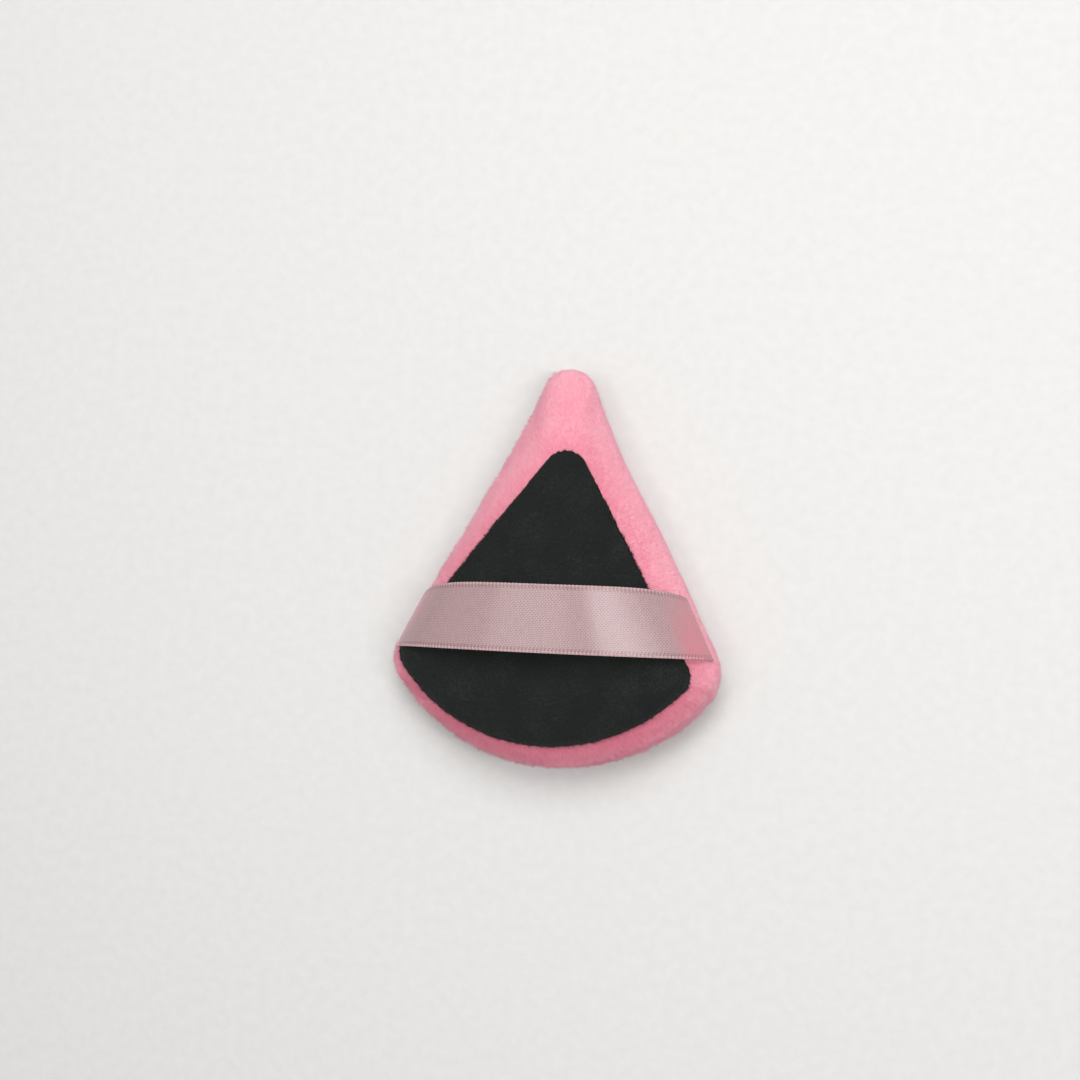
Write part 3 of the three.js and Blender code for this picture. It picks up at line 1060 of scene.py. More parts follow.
class ThreadTree(GeometryTree):
    """Tree that lays a twisted thread of three plies along a line."""

    NAME = "twisted_thread"
    SIZES = dict.fromkeys(("Diameter", "Step", "Turns"), "Float")

    def made(self) -> NodeSocket:
        """Lay the thread.

        Returns:
            The thread.
        """
        line = self.out("GeometryNodeMeshToCurve", {"Mesh": self.given["Geometry"]})
        line = self.out("GeometryNodeCurveSplineType", {"Curve": line}, spline_type="CATMULL_ROM")
        spaced = {"Curve": line, "Length": self.given["Step"]}
        line = self.out("GeometryNodeResampleCurve", spaced, mode="LENGTH")
        length = self.add("GeometryNodeSplineParameter").outputs["Length"]
        twist = self.math("MULTIPLY", length, self.given["Turns"])
        line = self.out("GeometryNodeSetCurveTilt", {"Curve": line, "Tilt": twist})
        outer, inner = (self.math("MULTIPLY", self.given["Diameter"], share) for share in (0.5, 0.36))
        plies = {"Points": 3, "Inner Radius": inner, "Outer Radius": outer}
        section = self.out("GeometryNodeCurveStar", plies)
        laid = {"Curve": line, "Profile Curve": section, "Fill Caps": True}
        return self.smooth(self.out("GeometryNodeCurveToMesh", laid))


@dataclass
class Pile:
    """Cut pile of one stretch of fabric."""

    length: float
    thickness: float  # of a strand at its root
    lean: float  # how far the strands lie over along the nap
    stray: float  # how far single strands stray from their neighbours
    tuft: float  # how far strands gather into tufts
    tufts: float  # to the metre
    tone: float  # of most strands, between the darkest and the lightest
    patches: tuple[tuple[float, float], ...]  # differences in tone, and sizes of the patches that have them
    strands: int = 46_000  # on one piece
    gloss: float = 0.45  # how much a strand takes the light by itself, and not as part of the fabric
    lit: float = 0.45  # how much the strands' upper flanks take the light on a steep side

    def tones(self, rows: Points, seed: int) -> Points:
        """Give the strands tones that differ in patches.

        Args:
            rows: Grid of points.
            seed: Start of the random draws.

        Returns:
            The tone at each point.
        """
        tone = np.full(rows.shape[:2], self.tone)
        for number, (difference, size) in enumerate(self.patches):
            tone += difference * wander(rows, size, seed + number)
        return tone

    def grow(
        self, name: str, rows: Points, values: dict[str, Points], tree: PileTree, finish: Material, seed: int
    ) -> Piece:
        """Grow the pile on a grid of points.

        Args:
            name: The piece's name.
            rows: The fabric's grid of points.
            values: The strands' nap, height, share, tone and looseness on that grid.
            tree: The tree that grows it.
            finish: The strands' material.
            seed: Start of the random draws.

        Returns:
            The pile as one piece.
        """
        count, size = rows.shape[:2]
        starts = [row * size + k for row in range(count - 1) for k in range(size - 1)]
        faces = [(at, at + 1, at + size + 1, at + size) for at in starts]
        ground = new_mesh(name, rows.reshape(-1, 3), faces, [])
        for key, value in values.items():
            mark(ground, key, value)
        sizes = {key: getattr(self, key.lower()) for key in PileTree.LOOKS}
        density = self.strands / area_of(rows, values["share"])
        grown = tree.run(name, ground, Density=density, Seed=seed, Finish=finish, **sizes)
        mesh = grown.data
        points = read(mesh.vertices, "co")
        points[:, 2] = points[:, 2].clip(0)
        mesh.vertices.foreach_set("co", points.ravel())
        facing = read(mesh.attributes["facing"].data, "vector", kind=np.float32)
        for key in (*values, "along", "facing"):
            if key in mesh.attributes:
                mesh.attributes.remove(mesh.attributes[key])
        mesh.shade_smooth()
        mesh.update()
        facing[:, 2] += self.lit
        own = read(mesh.vertex_normals, "vector", kind=np.float32)
        mesh.normals_split_custom_set_from_vertices(unit(facing + self.gloss * own))
        return grown


@dataclass
class VelourPad:
    """Foam pad in its two velour covers, with their pile."""

    form: Padding
    pile: Pile
    pile_depth: float = 0.45 * MM  # how far the fabric's ground lies inside the padded form
    swelling: float = 0.7 * MM  # how far the covers swell over the foam at most
    foam_push: float = 0.5  # share of that to which the foam pushes them out everywhere
    fabric: float = 0.8 * MM
    row_step: float = 1.5 * MM
    refined: int = 2  # how much finer the finished covers are than the swelling ones
    enlarged: float = 10.0  # how much larger the pad is while it swells
    pressure: float = 4.0
    frames: int = 20  # steps that it swells for
    soft_waves: tuple[float, float] = (0.12 * MM, 16 * MM)  # height and length of waves all over the covers
    seam_waves: tuple[float, float] = (0.1 * MM, 4 * MM)  # the same of waves beside the seam
    seam_waves_reach: float = 4 * MM
    lips: tuple[float, float] = (0.05 * MM, 0.55 * MM)  # from the seam's middle to the folds, down and up
    open_past: tuple[float, float] = (1 * MM, -1.5 * MM)  # open seam past the strap's base and tip edges
    closing_over: float = 2 * MM  # length on which the seam then closes
    fold_overlap: float = 0.04 * MM  # how far the folds press on each other where it is closed
    fold_reach: float = 1.4 * MM  # how far up the fold above the seam comes down
    least_drop: float = 0.4  # steepness under which it comes down less
    fold_depth: float = 1.6 * MM  # where the covers turn into the seam
    allowance: float = 3.5 * MM  # depth of the turned-in edges
    allowance_fabric: float = 0.7 * MM
    core_clearance: float = 0.3 * MM  # between the covers and the foam
    core_below: float = 3 * MM  # further room for the edges below the seam
    side_from: float = 2.2 * MM  # height at which the face turns up into the side
    first_seed: int = 11
    rim_reach: float = 4 * MM  # of the pile that stands out round the side
    rim_light: float = 0.2  # painted sheen: how much lighter that pile is
    rim_combed: float = 0.65  # how far its tufts are combed out, except in the fringe
    fringe_way: tuple[float, float] = (-0.75, -0.65)  # side on which it stands out as a fringe
    fringe_raised: float = 0.6  # how far the nap is raised there
    fringe_longer: float = 0.4  # how much longer the strands are there
    base_shade: float = 0.22  # painted shade: how much darker the side is towards the base
    panel_shade: float = 0.2  # painted shade: how much darker the back's pile is beside the panel
    strap_press: float = 0.65  # how far the strap presses the pile down
    brushed: ClassVar[dict[Region, tuple[float, float, float]]] = {  # way that each stretch is brushed
        Region.FACE: (0.1, -1.6, 0.0),
        Region.SIDE: (0.1, -0.35, -0.6),
        Region.BACK: (0.1, -0.35, -0.6),
    }

    def build(self, tree: PileTree, panel: "VelvetPanel", strap: "RibbonStrap") -> list[Piece]:
        """Build the covers, the foam and the pile.

        Args:
            tree: The tree that grows a pile.
            panel: The panel that covers the middle of the back.
            strap: The strap that lies over the edges.

        Returns:
            The pieces.
        """
        face, back = self.swollen(strap)
        pieces = [
            self.cover("face_velour", face, -1, "face_cover"),
            self.cover("back_velour", back, 1, "back_cover"),
            self.foam(),
        ]
        finish = PINK_VELOUR.strand_material()
        turning = int(np.argmax(face[:, 0, 2] > self.side_from))
        stretches = {Region.FACE: face[: turning + 1], Region.SIDE: face[turning:], Region.BACK: back}
        for number, (region, rows) in enumerate(stretches.items()):
            for side in Side:
                part = half_rows(rows, side)
                values = self.pile_values(region, part, panel, strap)
                seed = self.first_seed + 2 * number + (side is Side.LEFT)
                name = f"{region.value}_pile_{side.word}"
                grown = self.pile.grow(name, part, values, tree, finish, seed)
                pieces.append(on_pad(grown))
        return pieces

    def profiles(self, inset: float) -> tuple[Points, Points]:
        """Draw the sections of the face cover and of the back cover.

        Args:
            inset: How far inside the padded form they run.

        Returns:
            Rows of share and height, from the middle of the face to the seam and from there to the crown.
        """
        form, step = self.form, self.row_step
        low, high = form.seam_level - self.lips[0], form.seam_level + self.lips[1]
        drop, rise = form.widest_level + form.face_flattening - inset, form.back_rise - inset
        bottom = form.profile(math.asin((form.widest_level - inset) / drop), 0.0, -drop, step)
        wall = form.profile(0.0, form.back_angle(low, inset), rise, step)
        dome = form.profile(form.back_angle(high, inset), math.pi / 2, rise, step)
        shares = np.linspace(0, bottom[0, 0], round(bottom[0, 0] * form.reach / step) + 1)[1:-1]
        resting = np.column_stack([shares, np.full(len(shares), bottom[0, 1])])
        return np.concatenate([resting, bottom, wall[1:]]), dome[:-1]

    def swollen(self, strap: "RibbonStrap") -> list[Points]:
        """Swell the two covers over the foam, with the seam held.

        Args:
            strap: The strap whose ends come out of the seam.

        Returns:
            Grids of the face cover's outer side and of the back cover's.
        """
        inset = self.pile_depth + self.swelling
        coarse = [self.form.rows_on(profile, inset) for profile in self.profiles(inset)]
        made = []
        for rows, shift in zip(coarse, self.swell(*coarse)):
            smooth = finer_rows(rows + shift, self.refined)
            smooth[..., :2] += self.sewn_askew(smooth)
            smooth += self.creases(smooth)
            down = -unit(np.gradient(smooth, axis=0))
            down /= np.maximum(-down[..., 2:], self.least_drop)
            smooth += down * self.closing(smooth, strap)[..., None]
            smooth[..., 2] = np.maximum(smooth[..., 2], self.pile_depth)
            made.append(smooth)
        return made

    @staticmethod
    def sewn_askew(rows: Points) -> Points:
        """Give how far the sewn outline strays from the drawn one.

        It is bowed to the right, has fuller corners, and its base rises on the right. Its tip is longer.

        Args:
            rows: Grid of a cover.

        Returns:
            The shift of each point, seen from above.
        """
        x, y = rows[..., 0], rows[..., 1]
        bowed = bell(y, middle=9 * MM, width=11 * MM, height=0.45 * MM)
        fuller = bell(y, middle=-25 * MM, width=7 * MM, height=0.3 * MM)
        rises = bell(x, middle=15 * MM, width=11 * MM, height=0.45 * MM)
        longer = 0.3 * MM
        across = bowed + fuller * np.sign(x) * smoothstep(15 * MM, 34 * MM, np.abs(x))
        along = rises * smoothstep(25 * MM, 40 * MM, -y) + longer * smoothstep(24 * MM, 40 * MM, y)
        return np.stack([across, along], -1)

    def creases(self, rows: Points) -> Points:
        """Give the small unevenness of sewn and filled fabric.

        Args:
            rows: Grid of a cover.

        Returns:
            The shift of each point.
        """
        from_seam = np.abs(rows[..., 2] - self.form.seam_level)
        (soft_height, soft_length), (seam_height, seam_length) = self.soft_waves, self.seam_waves
        soft = soft_height * wander(rows, soft_length, seed=5)
        near_seam = seam_height * np.exp(-from_seam / self.seam_waves_reach)
        return outward(rows) * (soft + near_seam * wander(rows, seam_length, seed=6))[..., None]

    def closing(self, rows: Points, strap: "RibbonStrap") -> Points:
        """Tell how far the fold above the seam comes down to the one below, except over the strap's ends.

        Args:
            rows: Grid of a cover.
            strap: The strap.

        Returns:
            The distance at each point.
        """
        above = rows[..., 2] - self.form.seam_level
        across = rows[..., 1] - strap.middle
        past = np.maximum(-across - self.open_past[0], across - self.open_past[1]) - strap.width / 2
        falling = bell(np.maximum(above - self.lips[1], 0.0), middle=0.0, width=self.fold_reach)
        closed = (sum(self.lips) + self.fold_overlap) * smoothstep(0.0, self.closing_over, past) * falling
        return np.where(above > 0, closed, 0.0)

    def swell(self, face: Points, back: Points) -> tuple[Points, Points]:
        """Press the covers out from inside by a cloth simulation that holds the seam.

        Args:
            face: Grid of the face cover.
            back: Grid of the back cover.

        Returns:
            How far each point moves.
        """
        rings = np.concatenate([face, self.form.seam_ring(self.fold_depth, 0.0)[None], back])
        normals = outward(rings)
        most = 2 * self.swelling
        free = np.full(rings.shape[:2], most)
        free = ((self.simulated(rings, len(face)) - rings) * normals).sum(-1)
        LOG.info("free swelling: %.2f mm to %.2f mm", free.min() / MM, free.max() / MM)
        backed = self.foam_push + (1 - self.foam_push) * smoothstep(-most, most, free)
        moves = normals * (self.swelling * backed)[..., None]
        return moves[: len(face)], moves[len(face) + 1 :]

    def simulated(self, rings: Points, seam_row: int) -> Points:
        """Run the cloth simulation on an enlarged copy of the covers.

        Args:
            rings: The covers' rings.
            seam_row: The ring that is held.

        Returns:
            The rings after it.
        """
        heights = (rings[0, 0, 2], self.form.top - self.pile_depth - self.swelling)
        ends = [np.array([*self.form.crown, height]) * self.enlarged for height in heights]
        pad = add_object("swelling_pad", loft("swelling_pad", rings * self.enlarged, *ends))
        held = pad.vertex_groups.new(name="sewn")
        size = rings.shape[1]
        held.add(list(range(seam_row * size, (seam_row + 1) * size)), 1.0, "REPLACE")
        settings = pad.modifiers.new("swell", "CLOTH").settings
        settings.quality = 6
        settings.mass = 1.0
        settings.tension_stiffness = settings.compression_stiffness = 15
        settings.shear_stiffness = 7.5
        settings.bending_stiffness = 0.5
        settings.shrink_min = -0.03
        settings.use_pressure = True
        settings.uniform_pressure_force = self.pressure
        settings.vertex_group_mass = held.name
        settings.effector_weights.gravity = 0
        scene = bpy.context.scene
        for number in range(1, self.frames + 1):
            scene.frame_set(number)
        swollen = pad.evaluated_get(bpy.context.evaluated_depsgraph_get())
        result = read(swollen.data.vertices, "co")[:-2].reshape(rings.shape) / self.enlarged
        bpy.data.objects.remove(pad)
        scene.frame_set(1)
        return result

    def cover(self, name: str, outer: Points, way: int, node: str) -> Piece:
        """Close a cover: its outer side, its edge turned into the seam, and its inner side.

        Args:
            name: The piece's name.
            outer: Grid of its outer side, from the middle of the face or from the seam.
            way: 1 for the cover above the seam and -1 for the one below.
            node: The node that it stands for.

        Returns:
            The piece.
        """
        fine = replace(self.form, outline=self.form.outline.finer(self.refined))
        near = self.form.seam_gap / 2
        far = near + self.allowance_fabric
        lanes = [(self.fold_depth, near), (self.allowance, near), (self.allowance, far)]
        lanes.append((self.fold_depth + self.fabric, far))
        turned = np.stack([fine.seam_ring(depth, way * across) for depth, across in lanes])
        from_middle = outer if way < 0 else outer[::-1]
        inner = (from_middle + way * self.fabric * outward(from_middle))[-6::-4]  # coarse, and off the fold
        middle = from_middle[0].mean(0)
        rings = np.concatenate([from_middle, turned, inner])
        mesh = loft(name, rings, middle, middle - (0, 0, way * self.fabric))
        made = on_pad(add_object(name, mesh, PINK_VELOUR.ground_material()), node)
        return made

    def foam(self) -> Piece:
        """Build the foam pad, drawn in round its side by the turned-in edges of the covers.

        Returns:
            The piece.
        """
        form = self.form
        inset = self.pile_depth + self.swelling + self.fabric + self.core_clearance
        face, back = self.profiles(inset)
        waist = form.seam_gap / 2 + self.allowance_fabric + self.core_clearance
        depth = self.allowance + self.core_clearance
        below = form.seam_level - waist / math.cos(form.seam_lean) - self.core_below
        above = form.seam_level + waist / math.cos(form.seam_lean)
        low = form.rows_on(face[face[:, 1] < below], inset)
        high = form.rows_on(back[back[:, 1] > above], inset)
        drawn_in = [form.seam_ring(depth, across) for across in (-waist, waist)]
        ends = [np.array([*form.crown, height]) for height in (low[0, 0, 2], form.top - inset)]
        mesh = loft("foam_pad", np.concatenate([low, drawn_in, high]), *ends)
        made = on_pad(add_object("foam_pad", mesh, LATEX.material()), "foam_core")
        return made

    def pile_values(
        self, region: Region, rows: Points, panel: "VelvetPanel", strap: "RibbonStrap"
    ) -> dict[str, Points]:
        """Set how the pile lies on a stretch of velour.

        Args:
            region: The stretch.
            rows: Its grid of points.
            panel: The panel that covers the middle of the back.
            strap: The strap that presses on the edges.

        Returns:
            The strands' nap, height, share, tone and looseness.
        """
        normals = outward(rows)
        nap = unit(np.array(self.brushed[region]) + self.form.from_crown(rows))
        nap = unit(nap - (nap * normals).sum(-1, keepdims=True) * normals)
        share, height, loose = np.ones((3, *rows.shape[:2]))
        tone = self.pile.tones(rows, seed=21)
        if region is Region.BACK:
            outside = panel.covered(rows[..., :2])
            share = smoothstep(-0.09, -0.05, outside)
            # painted shade: the back's pile is darker beside the panel
            tone -= self.panel_shade * (1 - smoothstep(0.0, 0.2, outside))
        if region is not Region.FACE:
            rim = bell(rows[..., 2], middle=self.form.widest_level, width=self.rim_reach)
            faces = unit(normals[..., :2])
            fringe = rim * smoothstep(-0.75, 0.1, faces @ np.array(self.fringe_way))
            nap = nap * (1 - self.fringe_raised * fringe)[..., None]
            height *= (1 + self.fringe_longer * fringe) * (1 - self.strap_press * strap.pressing(rows))
            loose = 1 - self.rim_combed * (rim - fringe)
            # painted shade: the side's pile is darker where it faces the base
            # painted sheen: the pile round the side is lighter
            tone += self.rim_light * rim - self.base_shade * smoothstep(0.2, 0.9, -faces[..., 1])
        return {"nap": nap, "height": height, "share": share, "tone": tone, "loose": loose}


@dataclass
class VelvetPanel:
    """Velvet panel that is bonded to the back, with its pile and the web that bonds it."""

    form: Padding
    pile: Pile
    outline: RoundTriangle
    base_margin: float = 5.6 * MM  # from the base of the cover to the panel
    tip_margin: float = 18.8 * MM  # from the tip of the cover to the panel
    turn: float = math.radians(-2)  # how far it is laid on askew
    skew: float = 0.042  # how far its tip is cut to the right, as a share of its length
    slid: float = -0.6 * MM  # how far it is laid on to the right
    seat: float = 0.35 * MM  # its underside above the padded form
    fabric: float = 1.0 * MM
    rounding: float = 0.7 * MM  # how far its cut edge is rounded
    rounding_steps: int = 4
    waviness: float = 0.08 * MM  # how far the cut edge wanders
    waves: tuple[float, float] = (0.1 * MM, 9 * MM)  # height and length of waves all over it
    top_shares: tuple[float, float, int] = (0.04, 1, 18)  # first, last and number of its upper rings
    under_rings: int = 10
    hub: float = 0.1  # share of its reach at which its lower rings start
    edge_share: float = 0.07  # share of its reach on which the pile splays at the edge
    splay: float = 4.0  # how far the pile leans out there
    edge_longer: float = 0.25  # how much longer the strands are there
    edge_ragged: float = 0.15  # how far that differs
    edge_denser: float = 0.8  # how much denser they stand there
    edge_combed: float = 0.5  # how far their tufts are combed out there
    brushed: tuple[float, float, float] = (0.1, -1.0, 0.0)  # way that the pile is brushed elsewhere
    first_seed: int = 41
    web: float = 0.15 * MM  # thickness of the bonding web
    web_room: float = 0.05 * MM  # between the web and the panel
    web_margin: float = 1.5 * MM  # how far the web stops short of the panel's edge

    def ring(self, inset: float = 0.0) -> Points:
        """Draw the panel's outline as it lies on the puff.

        Args:
            inset: How far the line runs inside the outline.

        Returns:
            Points of the line, seen from above.
        """
        cut = self.outline.ring(inset)
        waves = 0.3 * wander(cut, 6 * MM, seed=31) + wander(cut, 1.3 * MM, seed=32)
        cut = cut + self.waviness * unit(cut) * waves[:, None]
        cut[:, 0] += self.skew * cut[:, 1]
        cosine, sine = math.cos(self.turn), math.sin(self.turn)
        laid = cut @ np.array([[cosine, sine], [-sine, cosine]])
        return laid + (self.slid, (self.base_margin - self.tip_margin) / 2)

    def covered(self, points: Points) -> Points:
        """Tell how far points lie outside the panel, seen from above.

        Args:
            points: The points.

        Returns:
            0 at the panel's edge, more outside and less inside, as shares of its reach from the crown.
        """
        from_crown = points - self.form.crown
        reach = reach_through(self.ring() - self.form.crown, from_crown)
        return np.linalg.norm(from_crown, axis=-1) / reach - 1

    def layer(self, ring: Points, shares: Points, above: float) -> Points:
        """Lay rings over the back, which keep shares of a ring's distance from the crown."""
        crown = self.form.crown
        return np.stack([self.form.over_back((ring - crown) * share + crown, above) for share in shares])

    def top_rows(self) -> Points:
        """Draw the panel's upper side, from its crown to its cut edge.

        Returns:
            Grid of rings.
        """
        top = self.seat + self.fabric
        level = self.layer(self.ring(self.rounding), np.linspace(*self.top_shares), top)
        level[..., 2] += self.waves[0] * wander(level, self.waves[1], seed=33)
        rows = [level]
        for angle in np.linspace(0, math.pi / 2, self.rounding_steps + 1)[1:]:
            inset = self.rounding * (1 - math.sin(angle))
            drop = self.rounding * (1 - math.cos(angle))
            rows.append(self.layer(self.ring(inset), np.array([1.0]), top - drop))
        return np.concatenate(rows)

    def build(self, tree: PileTree) -> list[Piece]:
        """Build the panel, its pile and its web.

        Args:
            tree: The tree that grows a pile.

        Returns:
            The pieces.
        """
        top = self.top_rows()
        under = self.layer(self.ring(), np.linspace(1, self.hub, self.under_rings), self.seat)
        heights = (top[0, :, 2].mean(), self.form.top + self.seat)
        ends = [np.array([*self.form.crown, height]) for height in heights]
        mesh = loft("panel_velvet", np.concatenate([top, under]), *ends)
        panel = add_object("panel_velvet", mesh, BLACK_VELVET.ground_material())
        pieces = [on_pad(panel, "back_panel"), self.bond_web()]
        finish = BLACK_VELVET.strand_material()
        for side in Side:
            rows = half_rows(top, side)
            seed = self.first_seed + (side is Side.LEFT)
            values = self.pile_values(rows)
            grown = self.pile.grow(f"panel_pile_{side.word}", rows, values, tree, finish, seed)
            pieces.append(on_pad(grown))
        x, y = self.outline.ring().T
        return pieces

    def pile_values(self, rows: Points) -> dict[str, Points]:
        """Set how the velvet's pile lies.

        Args:
            rows: Grid of the panel's upper side.

        Returns:
            The strands' nap, height, share, tone and looseness.
        """
        edge = smoothstep(-self.edge_share, 0.0, self.covered(rows[..., :2]))
        splayed = self.splay * edge[..., None] * self.form.from_crown(rows)
        nap = np.array(self.brushed) * (1 - edge[..., None]) + splayed
        longer = self.edge_longer + self.edge_ragged * wander(rows, 1.6 * MM, seed=35)
        return {
            "nap": nap,
            "height": (1 + edge * longer).clip(0.4),
            "share": 1 + self.edge_denser * edge,
            "tone": self.pile.tones(rows, seed=36),
            "loose": 1 - self.edge_combed * edge,
        }

    def bond_web(self) -> Piece:
        """Build the web between the panel and the velour.

        Returns:
            The piece.
        """
        ring, shares = self.ring(self.web_margin), np.linspace(self.hub, 1, self.under_rings)
        low = self.seat - self.web_room - self.web
        high = low + self.web
        rings = np.concatenate([self.layer(ring, shares, low), self.layer(ring, shares[::-1], high)])
        ends = [np.array([*self.form.crown, self.form.top + above]) for above in (low, high)]
        made = add_object("panel_bond_web", loft("panel_bond_web", rings, *ends), WEB.material())
        return on_pad(made, "panel_bond_film")


@dataclass(frozen=True)
class StrapEnd:
    """How one end of the strap is sewn in."""

    sunk: float  # how deep in the seam it starts to show
    bulge: float  # how far it stands out of the seam before it turns up
    slip: tuple[float, float]  # of its base and tip edges towards the base, on each length that turns down
    pressed: float  # how far below the seam it presses the pile


@dataclass
class RibbonStrap:
    """Satin ribbon that is sewn in at both ends and arched over the panel, in a left and a right half."""

    form: Padding
    width: float = 15 * MM
    thickness: float = 0.35 * MM
    tail: float = 3.2 * MM  # length caught in the seam
    lane: float = 0.3 * MM  # its place across the seam's gap
    fold: float = 1.2 * MM  # height of the turn from the seam into the arch
    rise: float = math.radians(60)  # slope after that turn
    stiffness: float = 8.5 * MM  # of that slope
    flat_share: float = 0.6  # of the half span that runs nearly level
    crown_height: float = 25.075 * MM
    sewn_low: float = 0.3 * MM  # how far its middle lies below the puff's crown, towards the base
    askew: float = 0.7 * MM  # how far its right end lies nearer the tip than its middle
    lines: int = 15  # lengthwise lines of points
    tail_points: int = 5
    arch_steps: int = 26
    settling: int = 3  # rounds in which a line finds its place in the seam
    loop_pitch: float = RIBBON_SATIN.loop_pitch
    loop: tuple[float, float, float] = (0.7 * MM, 0.8 * MM, 0.34 * MM)  # across, along and up
    loop_inset: float = 0.25 * MM  # from the ribbon's edge to the loops' middle
    loop_sunk: float = 0.05 * MM
    loops_short: float = 4 * MM  # how far before the seam they stop
    bends: tuple[float, float] = (34.5 * MM, 1 * MM)  # from the middle: where it is held, and where it lifts
    presses: tuple[float, float] = (24 * MM, 28 * MM)  # where it starts to press the pile, and where fully
    tints: tuple[float, float] = (24 * MM, 33 * MM)  # where the velour starts to tint it, and where fully
    ends: ClassVar[dict[Side, StrapEnd]] = {
        Side.LEFT: StrapEnd(sunk=0.4 * MM, bulge=0.5 * MM, slip=(0.16, 0.8), pressed=2.6 * MM),
        Side.RIGHT: StrapEnd(sunk=0.3 * MM, bulge=0.4 * MM, slip=(0.14, 0.5), pressed=-0.2 * MM),
    }

    @property
    def middle(self) -> float:
        """Place of the strap's middle line towards the tip."""
        return float(self.form.crown[1]) - self.sewn_low

    def pressing(self, points: Points) -> Points:
        """Tell how much the strap's ends press the pile down.

        Args:
            points: Places on the velour.

        Returns:
            1 under the ends of the strap, and 0 away from them.
        """
        beside = np.abs(points[..., 1] - self.middle) - self.width / 2
        under = 1 - smoothstep(-0.2 * MM, 0.8 * MM, beside)
        reach = np.where(points[..., 0] < 0, self.ends[Side.LEFT].pressed, self.ends[Side.RIGHT].pressed)
        above = smoothstep(-0.8 * MM, 0.0, points[..., 2] - self.form.seam_level + reach)
        return under * above * smoothstep(*self.presses, np.abs(points[..., 0]))

    def section(self, y: float, end: StrapEnd) -> Points:
        """Draw the strap's section on the right, from the seam to the crown.

        Args:
            y: Place towards the tip at which it leaves the seam.
            end: How that end is sewn in.

        Returns:
            Rows of x and z.
        """
        tail = []
        count = len(self.form.outline.half(0.0))
        for depth in np.linspace(self.tail, end.sunk, self.tail_points):
            ring = self.form.seam_ring(depth, self.lane)[:count]
            tail.append((np.interp(y, ring[:, 1], ring[:, 0]), ring[0, 2]))
        mouth, lean = np.array(tail[-1]), self.form.seam_lean
        bend = mouth + end.bulge * np.array([math.cos(lean), math.sin(lean)])
        leave = mouth + (0.0, self.fold)
        slope = leave + self.stiffness * np.array([-math.cos(self.rise), math.sin(self.rise)])
        level = np.array([leave[0] * self.flat_share, self.crown_height])
        arch = bezier(leave, slope, level, np.array([0.0, self.crown_height]), self.arch_steps)
        return rounded(np.concatenate([tail, [bend], arch]), times=2)

    def line_at(self, y: float, side: Side) -> Points:
        """Draw one lengthwise line of a half, as if it lay on the right, from the seam to the crown.

        Args:
            y: The line's place towards the tip, at the crown.
            side: The half.

        Returns:
            Points of the line, one to a row.
        """
        end, sewn = self.ends[side], y
        slip = np.interp(y - self.middle, (-self.width / 2, self.width / 2), end.slip)
        for _ in range(self.settling):
            line = self.section(sewn, end)
            steps = np.diff(line[::-1], axis=0)
            turned_down = np.linalg.norm(steps, axis=1) - np.abs(steps[:, 0])
            slipped = np.concatenate([[0], np.cumsum(turned_down)])[::-1] * slip
            ways = y + side.value * self.askew * line[:, 0] / line[:, 0].max() - slipped
            sewn = float(ways[np.argmax(line[:, 0])])
        return np.stack([line[:, 0], ways, line[:, 1]], 1)

    def build(self, stitches: StitchTree, panel: VelvetPanel) -> list[Piece]:
        """Build both halves and the loops along their edges.

        Args:
            stitches: The tree that sets the loops.
            panel: The panel that lies under the strap.

        Returns:
            The pieces.
        """
        satin, weft = RIBBON_SATIN.material(), RIBBON_WEFT.material()
        across = np.linspace(-self.width / 2, self.width / 2, self.lines)
        pieces = []
        for side in Side:
            middle = np.stack([self.line_at(self.middle + place, side) for place in across])
            up = -outward(middle)
            steps = np.linalg.norm(np.diff(middle, axis=1), axis=-1)
            from_crown = np.cumsum(steps[:, ::-1], axis=1)[:, ::-1]
            along = np.concatenate([from_crown, np.zeros((self.lines, 1))], 1)
            places = np.stack([along, np.broadcast_to(across[:, None], along.shape)], -1)
            mirror = np.array([side.value, 1.0, 1.0])
            over, under = ((middle + way * up * self.thickness / 2) * mirror for way in (1, -1))
            faces = np.stack([over, under])
            ribbon = self.half(f"ribbon_{side.word}", faces, places * (side.value, 1), satin)
            row = self.loop_row(over, up * mirror, along)
            loops = stitches.run(f"ribbon_edges_{side.word}", row, Loop=self.loop, Finish=weft)
            for piece in (ribbon, loops):
                self.hang(piece, panel)
            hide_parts("ribbon_strap")
            pieces += [ribbon, loops]
        return pieces

    def hang(self, piece: Piece, panel: VelvetPanel) -> None:
        """Mark where velour lies behind a piece, and apply its transform to its mesh.

        Args:
            piece: The piece.
            panel: The panel, over which it isn't marked.
        """
        points = read(piece.data.vertices, "co")
        behind = smoothstep(-0.06, 0.12, panel.covered(points[:, :2]))
        mark(piece.data, OVER_VELOUR, behind * smoothstep(*self.tints, np.abs(points[:, 0])))
        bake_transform(piece)

    @staticmethod
    def half(name: str, faces: Points, places: Points, finish: Material) -> Piece:
        """Build one half of the ribbon.

        Args:
            name: The piece's name.
            faces: Grids of its upper and its lower side.
            places: Place along and across the ribbon, on the same grid.
            finish: The ribbon's material.

        Returns:
            The piece.
        """
        rings = np.concatenate([faces[0], faces[1, ::-1]]).transpose(1, 0, 2)
        spots = np.concatenate([places, places[::-1]]).transpose(1, 0, 2)
        mesh = loft(name, rings, rings[0].mean(0), rings[-1].mean(0))
        spots = np.concatenate([spots.reshape(-1, 2), [spots[0].mean(0), spots[-1].mean(0)]])
        numbers = read(mesh.loops, "vertex_index", 1, np.int32)[:, 0]
        layer = mesh.uv_layers.new(name="ribbon")
        layer.uv.foreach_set("vector", spots[numbers].astype(np.float32).ravel())
        mesh.set_sharp_from_angle(angle=math.radians(50))
        return add_object(name, mesh, finish)

